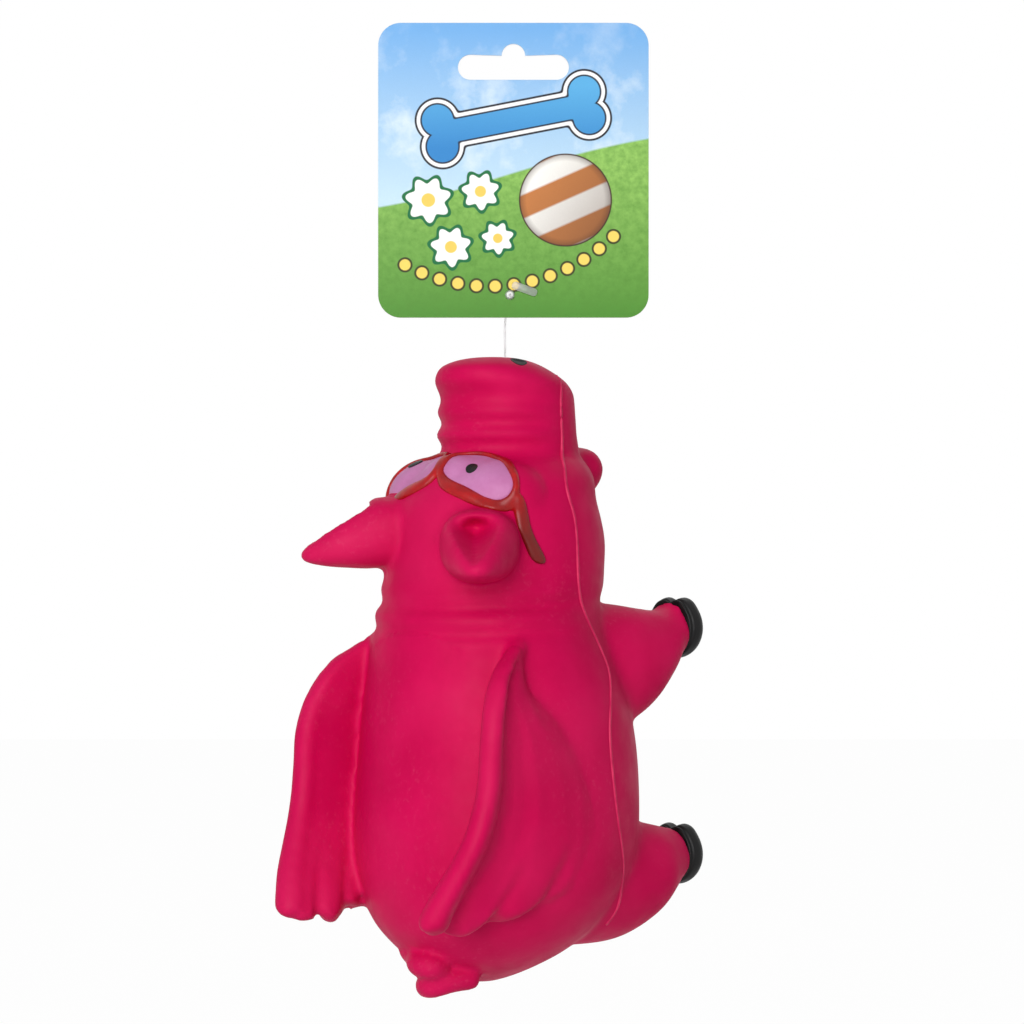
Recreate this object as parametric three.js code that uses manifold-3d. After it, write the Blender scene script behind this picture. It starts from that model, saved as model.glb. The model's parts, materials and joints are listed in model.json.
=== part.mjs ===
// A squeaky dog toy: a winged pig in spectacles, moulded in latex, that hangs by its snout from a card.
// Millimetres, +Z up. The origin is where a display peg bears in the card's slot, and the printed face
// looks along -Y. The pig has a frame of its own, with its snout's tip at the origin, its nose along +Z,
// its belly along +Y and its right side along +X.
import * as THREE from "three";
import { mergeVertices } from "three/addons/utils/BufferGeometryUtils.js";
import Module from "manifold-3d";

const wasm = await Module();
wasm.setup();

// Points nearer than this are one point of a solid.
const weldDistance = 1e-4;

// Driving dimensions of the card and of the pin that ties it to the toy.
const cardWidth = 77.8;
const cardHeight = 84.8;
const cardThickness = 0.6;
const cardCornerRadius = 6.5;
const slotWidth = 32;
const slotHeight = 7.3;
const slotCrestHeight = 3.1;
const slotCrestRadius = 3.4;
const slotTopMargin = 6;
const pinHoleRadius = 0.9;
const pinHoleLift = 6.5;
const pinHoleOffset = -1;
const paddleWidth = 7.4;
const paddleHeight = 3.6;
const paddleThickness = 0.8;
const filamentRadius = 0.3;
const filamentDrop = 11.5;
const filamentStandOff = 1.8;
const filamentShift = -1.4;
const barLength = 9;
const barRadius = 0.6;

// Driving dimensions of the toy. Neighbours keep the clearance, and cuts run past faces by the overrun.
const toyTurn = THREE.MathUtils.degToRad(-42);
const clearance = 0.3;
const overrun = 2;
const snoutLength = 28;
const snoutRadius = 19.9;
const snoutFoldDepth = 1.2;
const snoutWall = 2.2;
const snoutHoleRadius = 0.8;
const nostrilRadius = 2.5;
const nostrilDepth = 1.3;
const nostrilSpread = 5.6;
const headLength = 46;
const headRadius = 31.5;
const neckFoldDepth = 0.9;
const torsoLength = 104.8;
const torsoRadius = 41.2;
const lipWidth = 28;
const lipDepth = 19;
const lipHeight = 16;
const moundWidth = 26.5;
const moundDepth = 20;
const moundHeight = 22;
const eyeReach = 17;
const lensWidth = 22;
const lensHeight = 15;
const lensProud = 1;
const rimWidth = 2.6;
const rimProud = 1.7;
const bridgeHeight = 8.4;
const templeWidth = 3.2;
const templeLength = 22;
const pupilRadius = 1.8;
const pupilProud = 1.5;
const earLength = 31.5;
const earWidth = 21.8;
const earHeight = 20.4;
const ridgeThickness = 5.8;
const featherLength = 22;
const featherWidth = 14;
const featherThickness = 8.6;
const legRadius = 8.4;
const hoofHeight = 5.9;
const cleftWidth = 1.4;
const cleftDepth = 3.4;
const cleftFoot = 2.4;
const tailRadius = 4.4;
const tailCoilRadius = 14.5;
const tailSag = 7.3;

// Driving dimensions of the squeaker.
const flangeRadius = 10.5;
const flangeThickness = 1.4;
const seatDepth = 1.8;
const seatWall = 2.4;
const housingRadius = 7;
const housingLength = 15;
const housingWall = 1.4;
const barbHeight = 1.2;
const barbLength = 1.6;
const soundHoleRadius = 2;
const frontWall = 1;
const blockLength = 8.6;
const blockDiscLength = 1.5;
const channelWidth = 2.4;
const channelDepth = 2;
const reedWidth = 4;
const reedLength = 6.6;
const reedThickness = 0.3;
const reedLift = THREE.MathUtils.degToRad(3);
const clipLength = 1.5;
const guardThickness = 1.2;
const guardSpigotLength = 1.4;
const guardHoleRadius = 0.9;
const guardHoles = 6;

const latex = new THREE.MeshStandardMaterial({ color: 0xd2175a, roughness: 0.5, metalness: 0 });
const hoofPaint = new THREE.MeshStandardMaterial({ color: 0x161617, roughness: 0.35, metalness: 0 });
const rimPaint = new THREE.MeshStandardMaterial({ color: 0xc22a20, roughness: 0.35, metalness: 0 });
const lensPaint = new THREE.MeshStandardMaterial({ color: 0xc884b4, roughness: 0.4, metalness: 0 });
const whistlePlastic = new THREE.MeshStandardMaterial({ color: 0xf4f3ee, roughness: 0.4, metalness: 0 });
const reedFilm = new THREE.MeshStandardMaterial({ color: 0xd8dde0, roughness: 0.25, metalness: 0 });
const cardBoard = new THREE.MeshStandardMaterial({ color: 0x8fc4e6, roughness: 0.5, metalness: 0 });
const pinNylon = new THREE.MeshStandardMaterial({ color: 0xe6e8ea, roughness: 0.3, metalness: 0 });

// A closed geometry as a solid for joining and cutting.
function solidOf(geometry) {
  const bare = geometry.clone();
  bare.deleteAttribute("normal");
  bare.deleteAttribute("uv");
  const merged = mergeVertices(bare, weldDistance);
  const triVerts = new Uint32Array(merged.index.array);
  const vertProperties = merged.attributes.position.array;
  const solid = new wasm.Manifold(new wasm.Mesh({ numProp: 3, vertProperties, triVerts }));
  if (solid.volume() >= 0) return solid;
  for (let i = 0; i < triVerts.length; i += 3) {
    [triVerts[i], triVerts[i + 1]] = [triVerts[i + 1], triVerts[i]];
  }
  return new wasm.Manifold(new wasm.Mesh({ numProp: 3, vertProperties, triVerts }));
}

// A solid's vertices and triangles as a geometry again.
function geometryOf(solid) {
  const { vertProperties, triVerts } = solid.getMesh();
  const geometry = new THREE.BufferGeometry();
  geometry.setAttribute("position", new THREE.BufferAttribute(new Float32Array(vertProperties), 3));
  geometry.setIndex(new THREE.BufferAttribute(new Uint32Array(triVerts), 1));
  geometry.computeVertexNormals();
  return geometry;
}

// The same solid on the pig's other side.
function mirrored(solid) {
  return solidOf(geometryOf(solid).scale(-1, 1, 1));
}

// A closed skin over a row of rings that have as many points each, with a fan over each open end.
function loft(rings, firstPoint = middleOf(rings[0]), lastPoint = middleOf(rings.at(-1))) {
  const count = rings[0].length;
  const points = [...rings.flat(), firstPoint, lastPoint];
  const first = points.length - 2;
  const last = points.length - 1;
  const faces = [];
  for (let side = 0; side < count; side++) {
    const next = (side + 1) % count;
    faces.push(first, next, side);
    const end = (rings.length - 1) * count;
    faces.push(last, end + side, end + next);
    for (let ring = 0; ring + 1 < rings.length; ring++) {
      const low = ring * count;
      const high = low + count;
      faces.push(low + side, low + next, high + side, low + next, high + next, high + side);
    }
  }
  const geometry = new THREE.BufferGeometry().setFromPoints(points);
  geometry.setIndex(faces);
  return solidOf(geometry);
}

function middleOf(ring) {
  return ring.reduce((sum, point) => sum.add(point), new THREE.Vector3()).divideScalar(ring.length);
}

// Points round a closed outline: shape(turn) gives the point at each angle, counted from the pig's back.
function ringOf(count, shape) {
  return Array.from({ length: count }, (_, i) => shape((2 * Math.PI * i) / count));
}

function ellipsoid(width, depth, height, sides, bands) {
  return new THREE.SphereGeometry(1 / 2, sides, bands).rotateX(Math.PI / 2).scale(width, depth, height);
}

// A prism of an outline, run through a point along a direction, with the outline's first axis along across.
function prismThrough(shape, centre, across, direction, reach) {
  const up = new THREE.Vector3().crossVectors(direction, across);
  const frame = new THREE.Matrix4().makeBasis(across, up, direction).setPosition(centre);
  const geometry = new THREE.ExtrudeGeometry(shape, { depth: reach, bevelEnabled: false });
  return solidOf(geometry.applyMatrix4(frame));
}

// Snout, head and torso: one latex moulding over its filling, divided here where its forms meet.
const headTop = -snoutLength;
const neckHeight = headTop - headLength;
const rumpHeight = neckHeight - torsoLength;
const bodySides = 24;

// Each row: height down the snout, radius, lean towards the belly, and the fold that its back shows there.
const snoutShares = [
  [0.018, 0.34, -0.24, 0],
  [0.057, 0.585, -0.27, 0],
  [0.125, 0.79, -0.24, 0],
  [0.24, 0.95, -0.11, 0.4],
  [0.36, 0.975, 0.02, 0],
  [0.454, 0.98, 0.06, -0.4],
  [0.571, 0.99, 0.05, 0.35],
  [0.689, 0.99, 0.07, -0.5],
  [0.804, 1, 0.06, 0.55],
  [0.918, 1.005, 0.09, -0.5],
  [1, 1.02, 0.1, 0],
];

// The folds cross the snout's back and die away at its sides.
function snoutFold(share, turn) {
  const back = Math.max(0, (Math.cos(turn) + snoutFoldWrapShare) / (1 + snoutFoldWrapShare));
  return back * share * snoutFoldDepth;
}
const snoutFoldWrapShare = 0.25;

function snoutForm(grow) {
  const rings = snoutShares.map(([drop, radius, lean, fold]) =>
    ringOf(bodySides, (turn) => {
      const reach = radius * snoutRadius + snoutFold(fold, turn) + grow;
      const y = lean * snoutRadius - reach * Math.cos(turn);
      return new THREE.Vector3(reach * Math.sin(turn), y, -drop * snoutLength + grow * (1 - drop));
    }),
  );
  return loft(rings, new THREE.Vector3(0, snoutShares[0][2] * snoutRadius, grow));
}

// Each row: height down the head or torso, its radius there, and its lean towards the belly.
const headShares = [
  [0, 0.65, 0.048],
  [0.04, 0.72, 0.016],
  [0.1, 0.795, -0.016],
  [0.175, 0.87, -0.07],
  [0.28, 0.92, -0.13],
  [0.4, 0.97, -0.14],
  [0.54, 0.995, -0.125],
  [0.7, 1, -0.14],
  [0.82, 1.005, -0.165],
  [0.91, 0.995, -0.2],
  [1, 1.015, -0.23],
];
const torsoShares = [
  [0, 0.777, -0.176],
  [0.0735, 0.82, -0.165],
  [0.156, 0.875, -0.125],
  [0.264, 0.937, -0.09],
  [0.4, 0.976, -0.075],
  [0.563, 1, -0.095],
  [0.677, 0.98, -0.114],
  [0.756, 0.908, -0.136],
  [0.811, 0.83, -0.16],
  [0.858, 0.723, -0.194],
  [0.912, 0.553, -0.235],
  [0.948, 0.39, -0.255],
  [0.976, 0.22, -0.255],
  [0.994, 0.09, -0.255],
];
const head = { shares: headShares, radius: headRadius, top: headTop, length: headLength };
const torso = { shares: torsoShares, radius: torsoRadius, top: neckHeight, length: torsoLength };

// The wrinkles of the nape, on either side of the neck: height down the neck from them, and depth.
const napeShares = [
  [-0.155, 0.6],
  [-0.07, -0.7],
  [0.003, 0.6],
  [0.09, -0.7],
];
const napeWidthShare = 0.036;

function nape(height, turn) {
  const back = Math.max(0, Math.cos(turn));
  return napeShares.reduce((sum, [drop, lift]) => {
    const away = (neckHeight - drop * headLength - height) / (napeWidthShare * headLength);
    return sum + back * lift * neckFoldDepth * Math.exp(-away * away);
  }, 0);
}

// A section of the head or torso at a share of its height.
function sectionAt({ shares, radius, top, length }, drop) {
  const after = shares.findIndex(([height]) => height >= drop);
  const [low, high] = [shares[Math.max(0, after - 1)], shares[after]];
  const part = high[0] > low[0] ? (drop - low[0]) / (high[0] - low[0]) : 0;
  const between = (index) => (low[index] + part * (high[index] - low[index])) * radius;
  return { radius: between(1), lean: between(2), height: top - drop * length };
}

// The rings of the head or torso, grown all round, and shifted by their own amount at each end.
function bodyRings(body, grow, ends) {
  const last = body.shares.length - 1;
  return body.shares.map(([drop], index) => {
    const { radius, lean, height } = sectionAt(body, drop);
    const end = index === 0 ? ends.top : index === last ? ends.bottom : 0;
    return ringOf(bodySides, (turn) => {
      const reach = radius + grow + nape(height, turn);
      return new THREE.Vector3(reach * Math.sin(turn), lean - reach * Math.cos(turn), height + end);
    });
  });
}

function torsoForm(grow) {
  const rings = bodyRings(torso, grow, { top: grow, bottom: -grow });
  const pole = new THREE.Vector3(0, torsoShares.at(-1)[2] * torsoRadius, rumpHeight - grow);
  return loft(rings, undefined, pole);
}

// The eyes bulge from the head's sloping brow as two mounds.
const eyeSpreadShare = 0.41;
const eyeBackShare = 0.77;
const eyeDropShare = 0.13;
const moundSpreadShare = 0.36;
const moundBackShare = 0.46;
const moundDropShare = 0.26;
const eyeTurn = THREE.MathUtils.degToRad(30);
const eyeTilt = THREE.MathUtils.degToRad(36);
const eyeCentre = new THREE.Vector3(
  eyeSpreadShare * headRadius,
  -eyeBackShare * headRadius,
  headTop - eyeDropShare * headLength,
);
const eyeAcross = new THREE.Vector3(Math.cos(eyeTurn), Math.sin(eyeTurn), 0);
const eyeFacing = new THREE.Vector3(
  Math.sin(eyeTurn) * Math.cos(eyeTilt),
  -Math.cos(eyeTurn) * Math.cos(eyeTilt),
  Math.sin(eyeTilt),
);

function moundForm(grow) {
  const size = [moundWidth, moundDepth, moundHeight].map((length) => length + 2 * grow);
  const mound = ellipsoid(...size, 16, 10);
  const height = headTop - moundDropShare * headLength;
  mound.translate(moundSpreadShare * headRadius, -moundBackShare * headRadius, height);
  return solidOf(mound);
}

function headForm(grow, ends = { top: grow, bottom: -grow }) {
  const mound = moundForm(grow);
  return loft(bodyRings(head, grow, ends)).add(mound).add(mirrored(mound));
}

// A cutting cylinder along Y or upright, named by its radius, its two ends and its middle.
function drill(radius, from, to, x, z, sides) {
  const geometry = new THREE.CylinderGeometry(radius, radius, to - from, sides);
  return solidOf(geometry.translate(x, (from + to) / 2, z));
}
function drillUpright(radius, from, to, x, y, sides) {
  const geometry = new THREE.CylinderGeometry(radius, radius, to - from, sides).rotateX(Math.PI / 2);
  return solidOf(geometry.translate(x, y, (from + to) / 2));
}

// Snout: its crown is pierced for the pin, whose bar turns in a slit below.
const crownThickness = snoutWall + clearance;
const barLevel = -crownThickness - barRadius;
function snout() {
  const bored = snoutForm(0)
    .subtract(headForm(clearance))
    .subtract(drillUpright(snoutHoleRadius, barLevel, overrun, 0, 0, 10));
  const slitTop = barLevel + barRadius + clearance;
  const slitBottom = barLevel - barRadius - clearance;
  const slit = drillUpright(barLength / 2 + clearance, slitBottom, slitTop, 0, 0, 16);
  return bored.subtract(slit).subtract(nostrilBowl(0, 1)).subtract(nostrilBowl(0, -1));
}

// Nostrils: two dimples in the crown, each with a pool of paint in it.
function nostrilBowl(grow, side) {
  const size = 2 * (nostrilRadius + grow);
  const bowl = ellipsoid(size, size, 2 * (nostrilDepth + grow), 10, 8);
  return solidOf(bowl.translate(side * nostrilSpread, 0, nostrilLevel));
}
const nostrilLevel = -nostrilDepth / 2;
function nostrilPaint(side) {
  return nostrilBowl(-clearance, side).intersect(snoutForm(-clearance));
}

// Head: it ends flat at the neck.
function headPiece() {
  return headForm(0, { top: 0, bottom: clearance });
}

// Lower lip: a full pout under the snout, by rings down it.
const lipShares = [
  [0.06, 0.62],
  [0.15, 0.84],
  [0.3, 0.97],
  [0.45, 1],
  [0.62, 0.94],
  [0.8, 0.78],
  [0.95, 0.5],
];
const lipTopShare = 0.065;
const lipForwardShare = 0.775;
function lowerLip() {
  const rings = lipShares.map(([drop, size]) =>
    ringOf(16, (turn) =>
      new THREE.Vector3(
        (size * lipWidth * Math.sin(turn)) / 2,
        lipForwardShare * headRadius - (size * lipDepth * Math.cos(turn)) / 2,
        headTop + lipTopShare * headLength - drop * lipHeight,
      ),
    ),
  );
  return largestOf(loft(rings).subtract(headForm(clearance)).subtract(snoutForm(clearance)));
}

// The largest of the separate bodies that a cut leaves.
function largestOf(solid) {
  return solid.decompose().reduce((best, body) => (body.volume() > best.volume() ? body : best));
}

// Ears: cones that droop outwards, each with a hollow in its upper face. The right one hangs lower.
const rightEarTurn = THREE.MathUtils.degToRad(35.5);
const leftEarTurn = THREE.MathUtils.degToRad(38);
const rightEarDropShare = 0.56;
const leftEarDropShare = 0.474;
const earRootShare = 0.8;
// Each row: place along the ear, its width, its height, and how far it hangs.
const earShares = [
  [-0.25, 1, 1.02, 0.02],
  [0.19, 0.99, 0.99, -0.005],
  [0.4, 0.91, 0.9, -0.06],
  [0.56, 0.8, 0.77, -0.12],
  [0.72, 0.64, 0.58, -0.2],
  [0.84, 0.48, 0.41, -0.26],
  [0.94, 0.3, 0.24, -0.31],
];
const earTipHangShare = -0.33;
const earFullnessShare = 0.85;
const earHollowShares = { along: 0.56, lift: 0.26, length: 0.66, width: 0.5, height: 0.8 };
const earHollowSlope = THREE.MathUtils.degToRad(34.4);

function ear(turn, drop) {
  const seat = sectionAt(head, drop);
  const outward = new THREE.Vector3(Math.sin(turn), -Math.cos(turn), 0);
  const across = new THREE.Vector3(Math.cos(turn), Math.sin(turn), 0);
  const root = new THREE.Vector3(0, seat.lean, seat.height);
  root.addScaledVector(outward, earRootShare * seat.radius);
  const place = (along, sideways, lift) =>
    root
      .clone()
      .addScaledVector(outward, along)
      .addScaledVector(across, sideways)
      .add(new THREE.Vector3(0, 0, lift));
  const full = (value) => Math.sign(value) * Math.abs(value) ** earFullnessShare;
  const rings = earShares.map(([along, width, height, hang]) =>
    ringOf(14, (angle) =>
      place(
        along * earLength,
        (width * earWidth * full(Math.cos(angle))) / 2,
        (height * earHeight * full(Math.sin(angle))) / 2 + hang * earHeight,
      ),
    ),
  );
  const cone = loft(rings, undefined, place(earLength, 0, earTipHangShare * earHeight));
  const { along, lift, length, width, height } = earHollowShares;
  const scoop = ellipsoid(width * earWidth, length * earLength, height * earHeight, 12, 8);
  scoop.rotateX(earHollowSlope).rotateZ(turn);
  scoop.translate(...place(along * earLength, 0, lift * earHeight).toArray());
  return cone.subtract(solidOf(scoop)).subtract(headForm(clearance)).subtract(spectacleForm(clearance));
}

// Spectacles: moulded proud of the brow and painted. The outline is the right lens seen face on.
const lensOutlineShares = [
  [-0.5, 0.12],
  [-0.3, 0.34],
  [0, 0.47],
  [0.27, 0.36],
  [0.45, 0.03],
  [0.49, -0.26],
  [0.36, -0.48],
  [0.06, -0.44],
  [-0.26, -0.19],
  [-0.46, -0.01],
];

function lensShape(grow) {
  const wide = lensWidth + 2 * grow;
  const high = lensHeight + 2 * grow;
  const loop = lensOutlineShares.map(([across, up]) => new THREE.Vector3(across * wide, up * high, 0));
  const outline = new THREE.CatmullRomCurve3(loop, true).getPoints(18).slice(0, -1);
  return new THREE.Shape(outline.map((point) => new THREE.Vector2(point.x, point.y)));
}

function lensPrism(grow) {
  return eyePrism(lensShape(grow), eyeCentre);
}

// A prism that runs through the brow along the way that the eye faces.
function eyePrism(shape, centre) {
  const start = centre.clone().addScaledVector(eyeFacing, -eyeReach / 2);
  return prismThrough(shape, start, eyeAcross, eyeFacing, eyeReach);
}

function bandShape(width, length) {
  const shape = new THREE.Shape();
  shape.moveTo(-width / 2, 0).lineTo(width / 2, 0).lineTo(width / 2, -length).lineTo(-width / 2, -length);
  return shape.closePath();
}

// The temple arm runs from the rim's outer end down behind the ear.
const templeTurn = THREE.MathUtils.degToRad(60);
const templeSlant = THREE.MathUtils.degToRad(16);
const templeDropShare = 0.2;
const templeSetShare = 0.06;
function templePrism(grow) {
  const seat = sectionAt(head, templeDropShare);
  const outward = new THREE.Vector3(Math.sin(templeTurn), -Math.cos(templeTurn), 0);
  const level = new THREE.Vector3(Math.cos(templeTurn), Math.sin(templeTurn), 0);
  const across = level.applyAxisAngle(outward, templeSlant);
  const start = new THREE.Vector3(0, seat.lean, seat.height + grow);
  start.addScaledVector(outward, seat.radius / 2).addScaledVector(across, -templeSetShare * seat.radius);
  const band = bandShape(templeWidth + 2 * grow, templeLength + 2 * grow);
  return prismThrough(band, start, across, outward, headRadius);
}

// The bridge fills the space between the rims' inner ends.
const bridgeLiftShare = 0.2;
function bridgePrism() {
  const reach = eyeCentre.x - (lensWidth / 2) * Math.cos(eyeTurn) + rimWidth;
  const start = new THREE.Vector3(-reach, 0, eyeCentre.z + bridgeLiftShare * bridgeHeight);
  const shape = bandShape(bridgeHeight, 2 * reach);
  const across = new THREE.Vector3(0, 0, 1);
  const back = new THREE.Vector3(0, -1, 0);
  return prismThrough(shape, start, across, back, headRadius + eyeReach);
}

function spectacleForm(grow) {
  const half = lensPrism(rimWidth + grow).add(templePrism(grow));
  const outline = half.add(mirrored(half)).add(bridgePrism());
  return outline.intersect(headForm(rimProud + grow));
}

function spectacleFrame() {
  const openings = lensPrism(clearance).add(mirrored(lensPrism(clearance)));
  const frame = spectacleForm(0).subtract(openings).subtract(headForm(clearance));
  return largestOf(frame.subtract(snoutForm(clearance)));
}

function pupilPrism(grow) {
  const centre = eyeCentre.clone().addScaledVector(eyeAcross, pupilOffsetShare * lensWidth);
  const up = new THREE.Vector3().crossVectors(eyeFacing, eyeAcross);
  centre.addScaledVector(up, pupilLiftShare * lensHeight);
  const shape = new THREE.Shape().absarc(0, 0, pupilRadius + grow, 0, 2 * Math.PI);
  return eyePrism(new THREE.Shape(shape.getPoints(5)), centre);
}
const pupilOffsetShare = -0.12;
const pupilLiftShare = 0.2;

function rightLens() {
  const glass = lensPrism(0).intersect(headForm(lensProud)).subtract(headForm(clearance));
  return largestOf(glass.subtract(pupilPrism(clearance)).subtract(snoutForm(clearance)));
}

function rightPupil() {
  return largestOf(pupilPrism(0).intersect(headForm(pupilProud)).subtract(headForm(clearance)));
}

// Wings: each a wedge that stands off the torso's side, with a round ridge in front and feathers below.
// Each row: height down the torso, then the ridge's place out to the side and off the back, and its size.
const wingShares = [
  [0.03, 0.6, 0.47, 0.5],
  [0.057, 0.69, 0.62, 0.85],
  [0.095, 0.74, 0.755, 0.95],
  [0.134, 0.78, 0.885, 1],
  [0.2, 0.823, 1.015, 1],
  [0.3, 0.866, 1.1, 1],
  [0.42, 0.868, 1.13, 1],
  [0.506, 0.85, 1.17, 1],
  [0.592, 0.818, 1.264, 1],
  [0.677, 0.758, 1.38, 1],
  [0.74, 0.685, 1.44, 0.95],
];
const wingRootShares = { outer: [0.9, 0.14], inner: [0.55, 0.66] };
// Each row: a feather's place from the ridge towards the body, how far it hangs below, and its width.
const featherShares = [
  [-0.04, 0.333, 0.85],
  [0.9, 0.467, 1.25],
  [1.79, 0.333, 0.95],
];
const featherSlant = THREE.MathUtils.degToRad(20);
const ridgeSteps = 5;

// The middle of the wing's ridge, and the two places where its faces enter the torso.
function wingSection([drop, side, back]) {
  const section = sectionAt(torso, drop);
  const rootAt = ([x, y]) =>
    new THREE.Vector3(x * section.radius, section.lean - y * section.radius, section.height);
  const ridge = new THREE.Vector3(side * torsoRadius, -back * torsoRadius, section.height);
  return { ridge, outer: rootAt(wingRootShares.outer), inner: rootAt(wingRootShares.inner) };
}

function wingRing(row) {
  const { ridge, outer, inner } = wingSection(row);
  const round = row.at(-1);
  const radius = (round * ridgeThickness) / 2;
  const facing = (root, sign) => {
    const along = root.clone().sub(ridge);
    return Math.atan2(-sign * along.x, sign * along.y);
  };
  const start = facing(outer, 1);
  let sweep = facing(inner, -1) - start;
  while (sweep > 0) sweep -= 2 * Math.PI;
  const arc = Array.from({ length: ridgeSteps + 1 }, (_, i) => {
    const angle = start + (sweep * i) / ridgeSteps;
    return ridge.clone().add(new THREE.Vector3(Math.cos(angle), Math.sin(angle), 0).multiplyScalar(radius));
  });
  const outerMiddle = arc[0].clone().lerp(outer, 0.5);
  const innerMiddle = arc.at(-1).clone().lerp(inner, 0.5);
  return [...arc, innerMiddle, inner, outer, outerMiddle];
}

function feather([along, hang, width]) {
  const { ridge, outer } = wingSection(wingShares.at(-1));
  const slant = new THREE.Euler(-featherSlant, featherSlant, 0);
  const tip = ridge.clone().addScaledVector(outer.sub(ridge).normalize(), along * featherWidth);
  tip.z -= hang * featherLength;
  const centre = new THREE.Vector3(0, 0, featherLength / 2).applyEuler(slant).add(tip);
  const placing = new THREE.Matrix4().makeRotationFromEuler(slant).setPosition(centre);
  const lobe = ellipsoid(featherThickness, width * featherWidth, featherLength, 12, 10);
  return solidOf(lobe.applyMatrix4(placing));
}

function rightWing() {
  const blade = loft(wingShares.map(wingRing));
  const whole = featherShares.reduce((wing, row) => wing.add(feather(row)), blade);
  return largestOf(whole.subtract(torsoForm(clearance)).subtract(headForm(clearance)));
}

// Legs: each runs out from the belly's side to a flat end, on which its hoof sits.
// Each row: how far out and across, by the torso's radius, then the place up from the hoof,
// half the width and half the height, by the leg's radius.
const frontLegShares = [
  [0.28, 0.35, -1.22, 1.9, 2.16],
  [0.56, 0.44, -1.28, 1.84, 2.16],
  [0.77, 0.51, -1.1, 1.6, 1.82],
  [0.935, 0.56, -0.68, 1.3, 1.3],
  [1.035, 0.59, -0.26, 1.03, 0.99],
  [1.088, 0.607, 0, 1, 1],
];
const hindLegShares = [
  [0.18, 0.35, -0.62, 2.4, 2.26],
  [0.52, 0.43, -0.68, 2.2, 2.14],
  [0.77, 0.53, -0.5, 1.78, 1.73],
  [0.935, 0.57, -0.26, 1.36, 1.31],
  [1.035, 0.595, -0.08, 1.04, 1.02],
  [1.088, 0.607, 0, 1, 1],
];
const legSideShare = frontLegShares.at(-1)[1];
const limbSides = 14;
const frontHoofDropShare = 0.042;
const hindHoofDropShare = 0.675;
const legEnd = frontLegShares.at(-1)[0] * torsoRadius;

function limb(rows, hoofDrop) {
  const hoofLevel = neckHeight - hoofDrop * torsoLength;
  const rings = rows.map(([out, across, lift, width, height]) =>
    ringOf(limbSides, (turn) => {
      const x = across * torsoRadius + width * legRadius * Math.sin(turn);
      const z = hoofLevel + (lift + height * Math.cos(turn)) * legRadius;
      return new THREE.Vector3(x, out * torsoRadius, z);
    }),
  );
  return loft(rings).subtract(torsoForm(clearance)).subtract(headForm(clearance));
}

// Hooves: painted toes with a cleft that opens towards the nose.
const hoofShares = [
  [0, 1],
  [0.3, 1.05],
  [0.75, 1.02],
  [1, 0.9],
];

function hoof(hoofDrop) {
  const hoofLevel = neckHeight - hoofDrop * torsoLength;
  const hoofSide = legSideShare * torsoRadius;
  const hoofRoot = legEnd + clearance;
  const rings = hoofShares.map(([out, width]) =>
    ringOf(limbSides, (turn) => {
      const reach = width * legRadius;
      const z = hoofLevel + reach * Math.cos(turn);
      return new THREE.Vector3(hoofSide + reach * Math.sin(turn), hoofRoot + out * hoofHeight, z);
    }),
  );
  const cleft = new THREE.BoxGeometry(cleftWidth, 2 * hoofHeight, 2 * cleftDepth);
  cleft.translate(hoofSide, hoofRoot + hoofHeight + cleftFoot, hoofLevel + legRadius);
  return loft(rings).subtract(solidOf(cleft));
}

// Tail: a curl that leaves the rump, dips round and comes back up against it, as one unbroken tube.
const tailStart = THREE.MathUtils.degToRad(-65);
const tailSweep = THREE.MathUtils.degToRad(-262);
const tailSteps = 18;
const tailPlaceShares = { side: 0.05, back: 0.68, up: 0.08 };
const tailShrinkShares = { coil: 0.63, ease: 2.5, dip: 0.6, root: 0.78, tip: 0.84, blunt: 0.85 };

function tailPoint(share) {
  const turn = tailStart + share * tailSweep;
  const { coil, ease, dip } = tailShrinkShares;
  const reach = tailCoilRadius * (1 - coil + coil * (1 - share) ** ease);
  return new THREE.Vector3(
    tailPlaceShares.side * torsoRadius + reach * Math.cos(turn),
    -tailPlaceShares.back * torsoRadius - reach * Math.sin(turn),
    rumpHeight + tailPlaceShares.up * torsoLength - tailSag * Math.sin(Math.PI * share ** dip),
  );
}

function tail() {
  const samples = Array.from({ length: tailSteps + 1 }, (_, i) => i / tailSteps);
  const { root, tip, blunt } = tailShrinkShares;
  const rings = samples.map((share) => {
    const ahead = tailPoint(Math.min(1, share + 0.5 / tailSteps));
    const behind = tailPoint(Math.max(0, share - 0.5 / tailSteps));
    const heading = ahead.sub(behind).normalize();
    const aside = new THREE.Vector3().crossVectors(heading, new THREE.Vector3(0, 0, 1)).normalize();
    const over = new THREE.Vector3().crossVectors(aside, heading);
    const end = Math.max(0, (share - tip) / (1 - tip));
    const thick = tailRadius * (root + (1 - root) * share) * Math.sqrt(1 - blunt * end * end);
    return ringOf(8, (turn) =>
      tailPoint(share)
        .addScaledVector(aside, thick * Math.cos(turn))
        .addScaledVector(over, thick * Math.sin(turn)),
    );
  });
  return largestOf(loft(rings).subtract(torsoForm(clearance)));
}

// Torso: a flat seat on the belly, between the legs, takes the squeaker, and a pocket its tube.
const squeakerDropShare = 0.43;
const squeakerSeat = sectionAt(torso, squeakerDropShare);
const squeakerHeight = squeakerSeat.height;
const seatLevel = squeakerSeat.lean + squeakerSeat.radius - seatDepth;
const barbFace = -seatWall - clearance;

function torsoPiece() {
  const seatTop = seatLevel + flangeRadius;
  const seatCut = drill(flangeRadius + clearance, seatLevel, seatTop, 0, squeakerHeight, 24);
  const pocketEnd = seatLevel - housingLength - guardThickness - 2 * clearance;
  const mouth = drill(housingRadius + clearance, pocketEnd, seatLevel + overrun, 0, squeakerHeight, 20);
  const pocketRadius = housingRadius + barbHeight + clearance;
  const pocket = drill(pocketRadius, pocketEnd, seatLevel - seatWall, 0, squeakerHeight, 20);
  return torsoForm(0).subtract(seatCut).subtract(mouth).subtract(pocket);
}

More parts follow.
